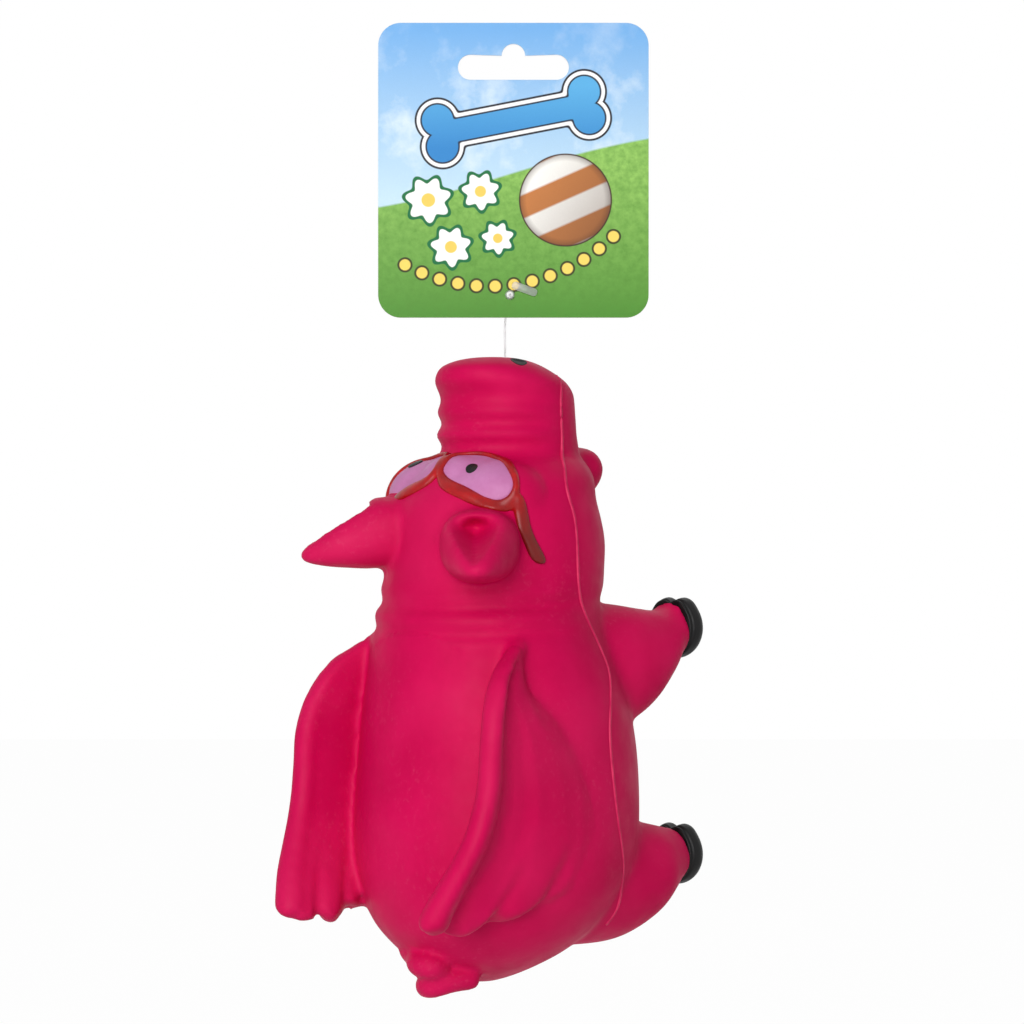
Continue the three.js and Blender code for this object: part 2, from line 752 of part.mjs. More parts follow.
// The squeaker, about its own axis: y = 0 is the flat of the belly's seat, and +y leads out of the toy.
const boreRadius = housingRadius - housingWall;
const blockRadius = boreRadius - clearance;
const blockFront = -frontWall - clearance;
const discBack = blockFront - blockDiscLength;
const blockBack = blockFront - blockLength;
const housingBack = -housingLength;

function lathed(profile, sides) {
  return solidOf(new THREE.LatheGeometry(profile.map(([r, y]) => new THREE.Vector2(r, y)), sides));
}

// Housing: a flanged tube that snaps into the collar, held behind it by a barb.
function squeakerHousing() {
  const top = clearance + flangeThickness;
  const profile = [
    [soundHoleRadius, top],
    [soundHoleRadius, -frontWall],
    [boreRadius, -frontWall],
    [boreRadius, housingBack],
    [housingRadius, housingBack],
    [housingRadius, barbFace - barbLength],
    [housingRadius + barbHeight, barbFace],
    [housingRadius, barbFace],
    [housingRadius, clearance],
    [flangeRadius, clearance],
    [flangeRadius, top - flangeThickness / 2],
    [flangeRadius - flangeThickness / 2, top],
    [soundHoleRadius, top],
  ];
  return lathed(profile, 24);
}

function box(x, y, z) {
  return solidOf(
    new THREE.BoxGeometry(x[1] - x[0], y[1] - y[0], z[1] - z[0]).translate(
      (x[0] + x[1]) / 2,
      (y[0] + y[1]) / 2,
      (z[0] + z[1]) / 2,
    ),
  );
}

// Reed block: a plug with a flat table, and a channel under the reed that leads to the sound hole.
function reedBlock() {
  const plug = drill(blockRadius, blockBack, blockFront, 0, 0, 24);
  const wide = [-boreRadius, boreRadius];
  const chamber = box(wide, [blockBack - overrun, discBack], [0, boreRadius]);
  const halfChannel = channelWidth / 2;
  const channelBack = blockBack + housingWall;
  const channelEnds = [channelBack, blockFront + overrun];
  const channel = box([-halfChannel, halfChannel], channelEnds, [-channelDepth, overrun]);
  const web = box(wide, [discBack, blockFront], [0, boreRadius]).intersect(plug);
  return plug.subtract(chamber).subtract(channel).add(web);
}

// Reed: a strip of film that lies along the table, open a little at its free end.
const reedRoot = discBack - clearance;
const clipBack = reedRoot - clipLength;
const reedLevel = clearance + reedThickness / 2;
function reed() {
  const half = reedWidth / 2;
  const strip = new THREE.BoxGeometry(2 * half, reedLength, reedThickness);
  strip.translate(0, -reedLength / 2 + clipLength, 0);
  return solidOf(strip.rotateX(-reedLift).translate(0, clipBack, reedLevel));
}

// Clip: the part of the plug that holds the reed's root down on the table.
function reedClip() {
  const wide = [-boreRadius, boreRadius];
  const under = reedLevel + reedThickness / 2 + clearance + clipLength * Math.tan(reedLift);
  const above = box(wide, [clipBack, reedRoot], [under, boreRadius]);
  return drill(blockRadius, clipBack, reedRoot, 0, 0, 24).intersect(above);
}

// Fibre guard: a pierced cap that keeps the wadding off the reed.
function fibreGuard() {
  const capFace = housingBack - clearance;
  const cap = drill(housingRadius, capFace - guardThickness, capFace, 0, 0, 24);
  const spigotEnd = housingBack + guardSpigotLength;
  const spigot = drill(blockRadius, capFace - guardThickness / 2, spigotEnd, 0, 0, 24);
  let guard = cap.add(spigot);
  for (let i = 0; i < guardHoles; i++) {
    const turn = (2 * Math.PI * i) / guardHoles;
    const x = (blockRadius / 2) * Math.cos(turn);
    const z = (blockRadius / 2) * Math.sin(turn);
    guard = guard.subtract(drill(guardHoleRadius, capFace - guardThickness - overrun, 0, x, z, 8));
  }
  return guard;
}

// Header card, lying in the XZ plane with its printed face towards -Y.
const cardTop = slotTopMargin;
const cardBottom = cardTop - cardHeight;
const pinHoleHeight = cardBottom + pinHoleLift;

function cardOutline() {
  const shape = new THREE.Shape();
  const x = cardWidth / 2 - cardCornerRadius;
  const low = cardBottom + cardCornerRadius;
  const high = cardTop - cardCornerRadius;
  shape.absarc(x, low, cardCornerRadius, -Math.PI / 2, 0, false);
  shape.absarc(x, high, cardCornerRadius, 0, Math.PI / 2, false);
  shape.absarc(-x, high, cardCornerRadius, Math.PI / 2, Math.PI, false);
  return shape.absarc(-x, low, cardCornerRadius, Math.PI, 1.5 * Math.PI, false);
}

// The euro slot: a bar with round ends, and a crest over its middle for the peg.
function slotPath() {
  const path = new THREE.Path();
  const endRadius = slotHeight / 2;
  const top = -slotCrestHeight;
  const middle = top - endRadius;
  const endX = slotWidth / 2 - endRadius;
  const crestCentre = -slotCrestRadius;
  path.moveTo(-endX, top - slotHeight);
  path.lineTo(endX, top - slotHeight).absarc(endX, middle, endRadius, -Math.PI / 2, Math.PI / 2, false);
  path.lineTo(slotCrestRadius, top).absarc(0, crestCentre, slotCrestRadius, 0, Math.PI, false);
  path.lineTo(-endX, top).absarc(-endX, middle, endRadius, Math.PI / 2, 1.5 * Math.PI, false);
  return path;
}

function headerCard() {
  const shape = cardOutline();
  const pinHole = new THREE.Path();
  pinHole.absarc(pinHoleOffset, pinHoleHeight, pinHoleRadius, 0, 2 * Math.PI, true);
  shape.holes.push(slotPath(), pinHole);
  const options = { depth: cardThickness, bevelEnabled: false, curveSegments: 6 };
  const sheet = new THREE.ExtrudeGeometry(shape, options);
  return solidOf(sheet.rotateX(Math.PI / 2).translate(0, cardThickness / 2, 0));
}

// Tag pin: a paddle on the printed face, a filament that drops behind the card, and a bar inside the snout.
const snoutTipX = pinHoleOffset + filamentShift;
const snoutTipY = filamentStandOff;
const snoutTipZ = cardBottom - filamentDrop;

function tagPin() {
  const paddleBack = -cardThickness / 2 - clearance;
  const paddle = box(
    [pinHoleOffset - paddleWidth / 2, pinHoleOffset + paddleWidth / 2],
    [paddleBack - paddleThickness, paddleBack],
    [pinHoleHeight - paddleHeight / 2, pinHoleHeight + paddleHeight / 2],
  );
  const route = [
    [pinHoleOffset, paddleBack - paddleThickness / 2, pinHoleHeight],
    [pinHoleOffset, cardThickness / 2, pinHoleHeight],
    [pinHoleOffset, snoutTipY - filamentRadius, pinHoleHeight - filamentRadius],
    [pinHoleOffset + filamentShift / 3, snoutTipY, pinHoleHeight - filamentStandOff],
    [snoutTipX, snoutTipY, cardBottom - filamentStandOff],
    [snoutTipX, snoutTipY, snoutTipZ + overrun],
    [snoutTipX, snoutTipY, snoutTipZ + barLevel],
  ];
  const path = new THREE.CatmullRomCurve3(route.map((point) => new THREE.Vector3(...point)));
  const section = ringOf(8, (turn) =>
    new THREE.Vector2(Math.cos(turn), Math.sin(turn)).multiplyScalar(filamentRadius),
  );
  const options = { steps: 30, extrudePath: path };
  const filament = solidOf(new THREE.ExtrudeGeometry(new THREE.Shape(section), options));
  const bar = new THREE.CylinderGeometry(barRadius, barRadius, barLength, 8).rotateZ(Math.PI / 2);
  bar.translate(snoutTipX, snoutTipY, snoutTipZ + barLevel);
  return paddle.add(filament).add(solidOf(bar));
}

// Assembly. Each piece is one named mesh.
const object = new THREE.Group();
const pig = new THREE.Group();
pig.position.set(snoutTipX, snoutTipY, snoutTipZ);
pig.rotation.z = toyTurn;
object.add(pig);
const squeaker = new THREE.Group();
squeaker.position.set(0, seatLevel, squeakerHeight);
pig.add(squeaker);

function place(group, name, solid, material) {
  const mesh = new THREE.Mesh(geometryOf(solid), material);
  mesh.name = name;
  group.add(mesh);
}

function placePair(name, solid, material) {
  place(pig, `right_${name}`, solid, material);
  place(pig, `left_${name}`, mirrored(solid), material);
}

place(object, "header_card", headerCard(), cardBoard);
place(object, "tag_pin", tagPin(), pinNylon);
place(pig, "snout", snout(), latex);
place(pig, "head", headPiece(), latex);
place(pig, "torso", torsoPiece(), latex);
place(pig, "lower_lip", lowerLip(), latex);
place(pig, "right_ear", ear(rightEarTurn, rightEarDropShare), latex);
place(pig, "left_ear", mirrored(ear(leftEarTurn, leftEarDropShare)), latex);
placePair("wing", rightWing(), latex);
placePair("front_leg", limb(frontLegShares, frontHoofDropShare), latex);
placePair("hind_leg", limb(hindLegShares, hindHoofDropShare), latex);
placePair("front_hoof", hoof(frontHoofDropShare), hoofPaint);
placePair("hind_hoof", hoof(hindHoofDropShare), hoofPaint);
place(pig, "curly_tail", tail(), latex);
place(pig, "spectacle_frame", spectacleFrame(), rimPaint);
placePair("lens", rightLens(), lensPaint);
placePair("pupil", rightPupil(), hoofPaint);
place(pig, "right_nostril", nostrilPaint(1), hoofPaint);
place(pig, "left_nostril", nostrilPaint(-1), hoofPaint);
place(squeaker, "squeaker_housing", squeakerHousing(), whistlePlastic);
place(squeaker, "reed_block", reedBlock(), whistlePlastic);
place(squeaker, "reed_clip", reedClip(), whistlePlastic);
place(squeaker, "squeaker_reed", reed(), reedFilm);
place(squeaker, "fibre_guard", fibreGuard(), whistlePlastic);

export default object;
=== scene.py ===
import json
from math import atan2, copysign, cos, exp, hypot, pi, radians, sin, sqrt

import bmesh
import bpy
from mathutils import Matrix, Vector
from mathutils.bvhtree import BVHTree


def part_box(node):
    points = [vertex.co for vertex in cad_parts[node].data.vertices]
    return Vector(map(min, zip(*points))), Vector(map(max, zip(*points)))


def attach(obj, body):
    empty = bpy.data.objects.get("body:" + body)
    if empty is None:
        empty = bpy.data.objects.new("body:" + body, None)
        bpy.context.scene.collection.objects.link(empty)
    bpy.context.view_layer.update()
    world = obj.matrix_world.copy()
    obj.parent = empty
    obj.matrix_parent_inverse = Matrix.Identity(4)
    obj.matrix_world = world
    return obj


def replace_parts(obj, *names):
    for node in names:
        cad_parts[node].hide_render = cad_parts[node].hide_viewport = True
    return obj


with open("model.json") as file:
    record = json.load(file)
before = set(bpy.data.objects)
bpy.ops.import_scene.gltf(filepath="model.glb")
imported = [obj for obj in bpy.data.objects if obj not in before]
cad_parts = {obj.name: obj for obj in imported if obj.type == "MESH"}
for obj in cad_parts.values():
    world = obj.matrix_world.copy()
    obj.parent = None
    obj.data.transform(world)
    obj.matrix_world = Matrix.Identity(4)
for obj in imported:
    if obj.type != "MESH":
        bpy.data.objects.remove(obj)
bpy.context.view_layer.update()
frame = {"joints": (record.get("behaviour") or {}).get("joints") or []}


# Camera
# A long lens at the height of the toy's shoulders looks straight at the printed face, far enough away
# that the card and the pig show at nearly one scale.
camera_place = Vector((-0.0004, -0.983, -0.1348))
camera_lens = 120
camera_film = 36


def add_object(name, data):
    """A new object in the scene."""
    thing = bpy.data.objects.new(name, data)
    bpy.context.scene.collection.objects.link(thing)
    return thing


camera = add_object("camera", bpy.data.cameras.new("camera"))
camera.data.lens = camera_lens
camera.data.sensor_width = camera_film
camera.location = camera_place
camera.rotation_euler = (pi / 2, 0, 0)
bpy.context.scene.camera = camera
bpy.context.scene.view_settings.view_transform = "Standard"


# Studio
# A seamless white floor below the hanging toy, a large soft lamp in front on the left, a weaker one on
# the right, one behind and above, and a pale surround.
floor_height = -0.4
floor_width = 6
floor_grey = 0.9
floor_glow = 0.98
surround_strength = 0.22
lamp_target = Vector((0, 0, -0.16))
# Each lamp: its place, its width and its power.
lamps = {
    "key": ((-0.36, -1.3, 0.26), 1, 17),
    "fill": ((1.1, -0.7, 0.1), 0.8, 0.6),
    "rim": ((0.2, 0.9, 0.9), 0.8, 2),
}


def feed(node, inputs):
    """Gives each named socket of a node a reading, or a value that is the same everywhere."""
    for key, value in inputs.items():
        if isinstance(value, Reading):
            node.id_data.links.new(value.socket, node.inputs[key])
        else:
            node.inputs[key].default_value = value


def given(tree, kind, output, inputs, **settings):
    """What a new node gives out."""
    node = tree.nodes.new(kind)
    for setting, value in settings.items():
        setattr(node, setting, value)
    feed(node, inputs)
    return Reading(node.outputs[output])


class Reading:
    """A number, place or colour that a material works out at each point. Its sums become nodes."""

    def __init__(self, socket):
        self.socket = socket

    def node(self, kind, output, inputs, **settings):
        return given(self.socket.id_data, kind, output, inputs, **settings)

    def math(self, operation, *values):
        return self.node("ShaderNodeMath", 0, dict(enumerate((self, *values))), operation=operation)

    def __add__(self, other):
        return self.math("ADD", other)

    def __sub__(self, other):
        return self.math("SUBTRACT", other)

    def __mul__(self, other):
        return self.math("MULTIPLY", other)

    def __abs__(self):
        return self.math("ABSOLUTE")

    def ranged(self, low, high, least=0, most=1):
        """Goes from least to most while this goes from low to high."""
        return self.node("ShaderNodeMapRange", "Result", dict(enumerate((self, low, high, least, most))))

    def inside(self, soft):
        """1 where this distance is below zero, and 0 where it is above, with a soft edge between."""
        return self.ranged(soft, -soft)

    def mixed(self, under, over):
        """One colour over another, by this amount."""
        return self.node("ShaderNodeMix", "Result", {"Factor": self, "A": under, "B": over}, data_type="RGBA")

    def axis(self, name):
        return self.node("ShaderNodeSeparateXYZ", name, {"Vector": self})

    def noise(self, scale, detail=3, roughness=0.5):
        inputs = {"Vector": self, "Scale": scale, "Detail": detail, "Roughness": roughness}
        return self.node("ShaderNodeTexNoise", "Fac", inputs)

    def bump(self, depth, strength):
        """The fine relief that this height pattern gives a surface."""
        return self.node("ShaderNodeBump", "Normal", {"Height": self, "Distance": depth, "Strength": strength})


def moved(form, matrix):
    bmesh.ops.transform(form, verts=form.verts, matrix=matrix)
    return form


def to_mesh(name, bm, place=Matrix()):
    """The finished mesh of a bmesh, in its place and with its faces pointing out."""
    moved(bm, place)
    bmesh.ops.remove_doubles(bm, verts=bm.verts, dist=1e-7)
    bmesh.ops.recalc_face_normals(bm, faces=bm.faces)
    for face in bm.faces:
        face.smooth = True
    mesh = bpy.data.meshes.new(name)
    bm.to_mesh(mesh)
    bm.free()
    return mesh


def show_and_light(tree, seen, lit, output):
    """Gives one shader to what camera, mirror and glass rays meet, and the other to all the rest."""
    rays = ("Is Camera Ray", "Is Glossy Ray", "Is Transmission Ray")
    camera, mirror, glass = (given(tree, "ShaderNodeLightPath", ray, {}) for ray in rays)
    share = camera.math("MAXIMUM", mirror).math("MAXIMUM", glass)
    feed(tree.nodes.new(output), {"Surface": share.node("ShaderNodeMixShader", 0, {0: share, 1: lit, 2: seen})})


world = bpy.data.worlds.new("surround")
floor_paint = bpy.data.materials.new("studio_floor")
for owner in (world, floor_paint):
    owner.use_nodes = True
    owner.node_tree.nodes.clear()
bpy.context.scene.world = world

background = "ShaderNodeBackground"
white = given(world.node_tree, background, 0, {"Color": (1, 1, 1, 1), "Strength": 1})
soft = given(world.node_tree, background, 0, {"Color": (1, 1, 1, 1), "Strength": surround_strength})
show_and_light(world.node_tree, white, soft, "ShaderNodeOutputWorld")

tree = floor_paint.node_tree
matt = given(tree, "ShaderNodeBsdfDiffuse", 0, {"Color": (floor_grey, floor_grey, floor_grey, 1)})
glow = given(tree, "ShaderNodeEmission", 0, {"Color": (1, 1, 1, 1), "Strength": 1})
seen_floor = matt.node("ShaderNodeMixShader", 0, {0: floor_glow, 1: matt, 2: glow})
show_and_light(tree, seen_floor, matt, "ShaderNodeOutputMaterial")

bm = bmesh.new()
bmesh.ops.create_grid(bm, x_segments=1, y_segments=1, size=floor_width / 2)
floor = add_object("studio_floor", to_mesh("studio_floor", bm, Matrix.Translation((0, 0, floor_height))))
floor.data.materials.append(floor_paint)

for name, (place, width, power) in lamps.items():
    lamp = add_object(name, bpy.data.lights.new(name, "AREA"))
    lamp.data.size = width
    lamp.data.energy = power
    lamp.location = place
    lamp.rotation_euler = (lamp_target - Vector(place)).to_track_quat("-Z", "Y").to_euler()


# Header card
# Coated board, printed on its face and plain behind, with round corners, a peg slot and a pin hole
# punched through it in one stroke, so that its edges are slightly rolled.
card_low, card_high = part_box("header_card")
card_corner = 0.0065
slot_width = 0.032
slot_height = 0.0073
slot_top = -0.0031
crest_radius = 0.0034
joints = {joint["name"]: joint for joint in frame["joints"]}
pin_hole_place = Vector(joints["pin_swing"]["pos_m"])
pin_hole_radius = 0.0009
card_edge_roll = 0.00006


def arc(centre, radius, start, end, steps):
    """Points along an arc in the card's plane, by its angles in quarter turns."""
    turns = [(start + (end - start) * step / steps) * pi / 2 for step in range(steps + 1)]
    return [(centre[0] + radius * cos(turn), centre[1] + radius * sin(turn)) for turn in turns]


def finished(name, mesh, body, slot, *paints):
    """A piece of the object, with its body and its materials. Its slot argument is not used."""
    piece = add_object(name, mesh)
    for paint in paints:
        piece.data.materials.append(paint)
    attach(piece, body)
    return piece


def evaluated(shape):
    """A plain mesh of an object with its modifiers applied. The object is removed."""
    bpy.context.view_layer.update()
    mesh = bpy.data.meshes.new_from_object(shape.evaluated_get(bpy.context.evaluated_depsgraph_get()))
    bpy.data.objects.remove(shape)
    return mesh


def card_board():
    left, right = card_low.x + card_corner, card_high.x - card_corner
    low, high = card_low.z + card_corner, card_high.z - card_corner
    edge = []
    for quarter, x, z in ((-1, right, low), (0, right, high), (1, left, high), (2, left, low)):
        edge += arc((x, z), card_corner, quarter, quarter + 1, 16)
    end_radius = slot_height / 2
    end_x = slot_width / 2 - end_radius
    middle = slot_top - end_radius
    slot = arc((end_x, middle), end_radius, -1, 1, 24)
    slot += arc((0, -crest_radius), crest_radius, 0, 2, 28)
    slot += arc((-end_x, middle), end_radius, 1, 3, 24)
    hole = arc((pin_hole_place.x, pin_hole_place.z), pin_hole_radius, 0, 4, 24)[:-1]
    curve = bpy.data.curves.new("header_card_face", "CURVE")
    curve.dimensions = "2D"
    curve.fill_mode = "BOTH"
    curve.extrude = (card_high.y - card_low.y) / 2 - card_edge_roll
    curve.bevel_depth = card_edge_roll
    curve.bevel_resolution = 2
    for outline in (edge, slot, hole):
        line = curve.splines.new("POLY")
        line.points.add(len(outline) - 1)
        for target, (x, z) in zip(line.points, outline):
            target.co = (x, z, 0, 1)
        line.use_cyclic_u = True
    mesh = evaluated(add_object("header_card_outline", curve))
    mesh.transform(Matrix.Rotation(pi / 2, 4, "X"))
    bm = bmesh.new()
    bm.from_mesh(mesh)
    bmesh.ops.remove_doubles(bm, verts=bm.verts, dist=1e-6)
    bmesh.ops.recalc_face_normals(bm, faces=bm.faces)
    for face in bm.faces:
        face.material_index = 0 if face.normal.y < -0.9 else 1
    bm.to_mesh(mesh)
    bm.free()
    return mesh


def apart(a, b):
    return (a * a + b * b).math("SQRT")


def ink(red, green, blue):
    """A printed or painted colour, given as it shows on a screen."""
    shares = [value / 255 for value in (red, green, blue)]
    return tuple(s / 12.92 if s <= 0.04045 else ((s + 0.055) / 1.055) ** 2.4 for s in shares) + (1,)


def new_paint(name):
    """A material, and the place of each point on the object."""
    paint = bpy.data.materials.new(name)
    paint.use_nodes = True
    return paint, Reading(paint.node_tree.nodes.new("ShaderNodeTexCoord").outputs["Object"])


def coated(paint, inputs):
    """The material with its shader set."""
    feed(paint.node_tree.nodes["Principled BSDF"], inputs)
    return paint


# The print's shapes: middles across and up from the slot's crest, turns and sizes.
ink_edge = 0.00012
horizon_height = -0.0372
horizon_rise = 0.2
horizon_waves = 48
horizon_wave_height = 0.0022
bone_middle, bone_turn, bone_half_length, knob = (0, -0.0217), radians(11), 0.0215, 0.0047
ball_middle, ball_turn, ball_radius = (0.015, -0.045), radians(24), 0.013
ball_stripes = 6.4
daisy_turn = 0.3
daisy_petals = 7
daisies = [
    ((-0.0245, -0.045), 0.0066), ((-0.0095, -0.0425), 0.0054), ((-0.018, -0.0585), 0.0058),
    ((-0.0045, -0.056), 0.0046),
]
trail_middle, trail_turn, trail_radius = (-0.0068, -0.0184), radians(187.75), 0.0514
dot_spacing = 0.105
trail_reach = 6.5 * dot_spacing


def card_print():
    paint, place = new_paint("card_print")
    x, z = place.axis("X"), place.axis("Z")

    def turned(centre, turn):
        right, up = x - centre[0], z - centre[1]
        return right * cos(turn) + up * sin(turn), up * cos(turn) - right * sin(turn)

    def outlined(distance, picture, *rings):
        for reach, colour in rings:
            picture = (distance - reach).inside(ink_edge).mixed(picture, colour)
        return picture

    clouds = place.noise(60, 5, 0.6).ranged(0.5, 0.72, 0, 0.85) * z.ranged(0.004, -0.02, 0.25, 1)
    sky = z.ranged(0.004, -0.045).mixed(ink(112, 172, 228), ink(196, 224, 240))
    picture = clouds.mixed(sky, ink(232, 242, 248))

    grass = place.noise(420, 4, 0.7).ranged(0.35, 0.75, 0, 0.75)
    horizon = x * horizon_rise + ((x * horizon_waves).math("SINE") * horizon_wave_height + horizon_height)
    meadow = z.ranged(-0.036, -0.078).mixed(ink(150, 200, 96), ink(78, 142, 48))
    meadow = grass.mixed(meadow, ink(84, 140, 50))
    picture = (z - horizon).inside(0.0003).mixed(picture, meadow)

    along, across = turned(bone_middle, bone_turn)
    end = abs(along) - bone_half_length
    knobs = apart(end, abs(across) - knob * 0.82) - knob
    bar = (abs(across) - knob * 0.72).math("MAXIMUM", end)
    bone = knobs.math("SMOOTH_MIN", bar, knob * 0.25)
    blue = z.ranged(-0.012, -0.03).mixed(ink(86, 172, 224), ink(44, 132, 200))
    rims = (0.0019, ink(40, 36, 44)), (0.0013, ink(250, 252, 252)), (0.0003, ink(40, 44, 60))
    picture = outlined(bone, picture, *rims, (-0.0002, blue))

    along, across = turned(ball_middle, ball_turn)
    away = apart(along, across)
    bands = (across * (1 / ball_radius) * ball_stripes).math("SINE") * 0.001
    shade = (along * 0.6 + across * -1).ranged(-0.012, 0.014, 0, 0.55)
    rim = (away * (1 / ball_radius)).ranged(0.86, 1, 0, 0.5)
    ball = bands.inside(0.00015).mixed(ink(196, 122, 62), ink(246, 244, 238))
    ball = rim.mixed(shade.mixed(ball, ink(96, 60, 40)), ink(70, 44, 34))
    picture = outlined(away - ball_radius, picture, (0.0004, ink(66, 44, 36)), (0, ball))

    for centre, radius in daisies:
        along, across = turned(centre, daisy_turn)
        petals = (across.math("ARCTAN2", along) * daisy_petals).math("COSINE") * (radius * 0.14) + radius * 0.86
        away = apart(along, across)
        picture = outlined(away - petals, picture, (0.0011, ink(24, 110, 62)), (0, ink(250, 252, 248)))
        picture = outlined(away - radius * 0.3, picture, (0, ink(244, 206, 92)))

    along, across = turned(trail_middle, trail_turn)
    around = along.math("ARCTAN2", across)
    nearest = (around * (1 / dot_spacing)).math("ROUND") * dot_spacing
    away = apart((around - nearest) * trail_radius, apart(along, across) - trail_radius)
    trail = outlined(away, picture, (0.0022, ink(58, 62, 34)), (0.0016, ink(244, 214, 98)))
    picture = (abs(around) - trail_reach).inside(0.001).mixed(picture, trail)

    grain = place.noise(2600, 2).ranged(0.3, 0.7, 0.985, 1.015)
    faded = place.node("ShaderNodeHueSaturation", "Color", {"Saturation": 0.98, "Value": grain, "Color": picture})
    return coated(paint, {
        "Base Color": faded, "Roughness": 0.32, "Specular IOR Level": 0.1,
        "Normal": place.noise(900, 2).bump(0.00002, 0.3),
    })


def card_back():
    paint, place = new_paint("card_back")
    fibres = place.noise(1500, 4, 0.7).ranged(0.35, 0.7)
    board = fibres.mixed(ink(226, 223, 216), ink(238, 236, 231))
    return coated(paint, {"Base Color": board, "Roughness": 0.72, "Normal": fibres.bump(0.00003, 0.4)})


card = finished("header_card_print", card_board(), "header_card", "printed_card", card_print(), card_back())
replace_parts(card, "header_card")


# Tag pin
# Clear nylon, moulded in one: a flat paddle on the card's face beside a round boss over the hole, a drawn
# filament through the hole and down behind the card, and a cross bar that lies inside the snout.
pin_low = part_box("tag_pin")[0]
snout_tip = Vector(joints["toy_swivel"]["pos_m"])
paddle_size = Vector((0.0076, 0.0005, 0.0023))
paddle_place = Vector((0.0042, 0, 0.0017))
paddle_turn = radians(20)
paddle_corner = 0.0009
paddle_edge = 0.0001
boss_radius = 0.0015
boss_taper = 0.8
boss_height = 0.0008
boss_edge = 0.00012
filament_radius = 0.0003
filament_straight = 0.002
bar_length = 0.009
bar_radius = 0.0006


def smooth_rows(rows, steps):
    """Rows of numbers on a smooth line through the given rows."""
    last = len(rows) - 1
    line = []
    for step in range(steps + 1):
        place = step / steps * last
        low = min(int(place), last - 1)
        t = place - low
        before, start, end, after = (rows[min(max(low + i, 0), last)] for i in (-1, 0, 1, 2))
        line.append(
            [
                0.5 * (2 * b + (c - a) * t + (2 * a - 5 * b + 4 * c - d) * t * t + (3 * b - a - 3 * c + d) * t**3)
                for a, b, c, d in zip(before, start, end, after)
            ]
        )
    return line


def drawn(rows, sides, place, closed=False):
    """A form drawn out of a ring through the rows: place(row, turn) is where a ring's point at a turn goes."""
    form = bmesh.new()
    turn = form.verts.layers.float.new("turn")
    ring = bmesh.ops.create_circle(form, segments=sides, radius=1)["verts"]
    for vert in ring:
        vert[turn] = atan2(vert.co.y, vert.co.x)
    edges = list(form.edges)
    first = edges
    for vert in ring:
        vert.co = place(rows[0], vert[turn])
    for row in rows[1:]:
        grown = bmesh.ops.extrude_edge_only(form, edges=edges)["geom"]
        ring = [part for part in grown if isinstance(part, bmesh.types.BMVert)]
        edges = [part for part in grown if isinstance(part, bmesh.types.BMEdge)]
        for vert in ring:
            vert.co = place(row, vert[turn])
    if closed:
        bmesh.ops.remove_doubles(form, verts=form.verts, dist=1e-7)
    else:
        bmesh.ops.contextual_create(form, geom=first)
        bmesh.ops.contextual_create(form, geom=edges)
    return form


def add_form(bm, form):
    """Adds a form to those already in a mesh."""
    carrier = bpy.data.meshes.new("form")
    form.to_mesh(carrier)
    form.free()
    bm.from_mesh(carrier)
    bpy.data.meshes.remove(carrier)


def tube(points, radius, sides):
    """A tube along a line of points, of one radius or with a radius at each point."""
    radii = radius if isinstance(radius, list) else [radius] * len(points)
    ways = [after - before for before, after in zip(points[:1] + points, points[1:] + points[-1:])]

    def place(row, turn):
        point, way, thick = row
        return point + way @ Vector((thick * cos(turn), thick * sin(turn), 0))

    return drawn([(p, way.to_track_quat("Z", "Y"), r) for p, way, r in zip(points, ways, radii)], sides, place)


def bevelled(form, edges, offset, segments):
    bmesh.ops.bevel(form, geom=edges, offset=offset, segments=segments, affect="EDGES", profile=0.5, material=-1)


def pin_shape():
    on_card = Vector((pin_hole_place.x, card_low.y, pin_hole_place.z))
    bm = bmesh.new()
    bmesh.ops.create_cube(bm, size=1)
    bmesh.ops.scale(bm, verts=bm.verts, vec=paddle_size)
    upright = [edge for edge in bm.edges if abs((edge.verts[0].co - edge.verts[1].co).y) > 1e-5]
    bevelled(bm, upright, paddle_corner, 6)
    bevelled(bm, list(bm.edges), paddle_edge, 2)
    place = on_card + paddle_place - Vector((0, paddle_size.y / 2, 0))
    moved(bm, Matrix.Translation(place) @ Matrix.Rotation(paddle_turn, 4, "Y"))
    boss = bmesh.new()
    top_radius = boss_taper * boss_radius
    bmesh.ops.create_cone(
        boss, cap_ends=True, segments=32, radius1=boss_radius, radius2=top_radius, depth=boss_height
    )
    bevelled(boss, list(boss.edges), boss_edge, 2)
    place = on_card - Vector((0, boss_height / 2, 0))
    add_form(bm, moved(boss, Matrix.Translation(place) @ Matrix.Rotation(pi / 2, 4, "X")))
    hole_x, hole_z = pin_hole_place.x, pin_hole_place.z
    back = snout_tip.y
    route = [
        (hole_x, card_low.y - boss_height / 2, hole_z),
        (hole_x, card_high.y, hole_z),
        (hole_x, back - filament_radius, hole_z - filament_radius),
        (hole_x + (snout_tip.x - hole_x) / 3, back, hole_z - back),
        (snout_tip.x, back, card_low.z - back),
        (snout_tip.x, back, snout_tip.z + filament_straight),
        (snout_tip.x, back, pin_low.z + bar_radius),
    ]
    add_form(bm, tube([Vector(point) for point in smooth_rows(route, 72)], filament_radius, 12))
    half = Vector((bar_length / 2, 0, 0))
    middle = Vector(route[-1])
    add_form(bm, tube([middle - half, middle + half], bar_radius, 16))
    return to_mesh("tag_pin_moulding", bm)


def clear_nylon():
    paint, place = new_paint("clear_nylon")
    haze = place.noise(900, 3).ranged(0.3, 0.7)
    colour = haze.mixed(ink(226, 225, 224), ink(242, 242, 243))
    return coated(paint, {"Base Color": colour, "Roughness": 0.3, "Transmission Weight": 0.75, "IOR": 1.53})


pin = finished("tag_pin_moulding", pin_shape(), "tag_pin", "clear_nylon", clear_nylon())
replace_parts(pin, "tag_pin")


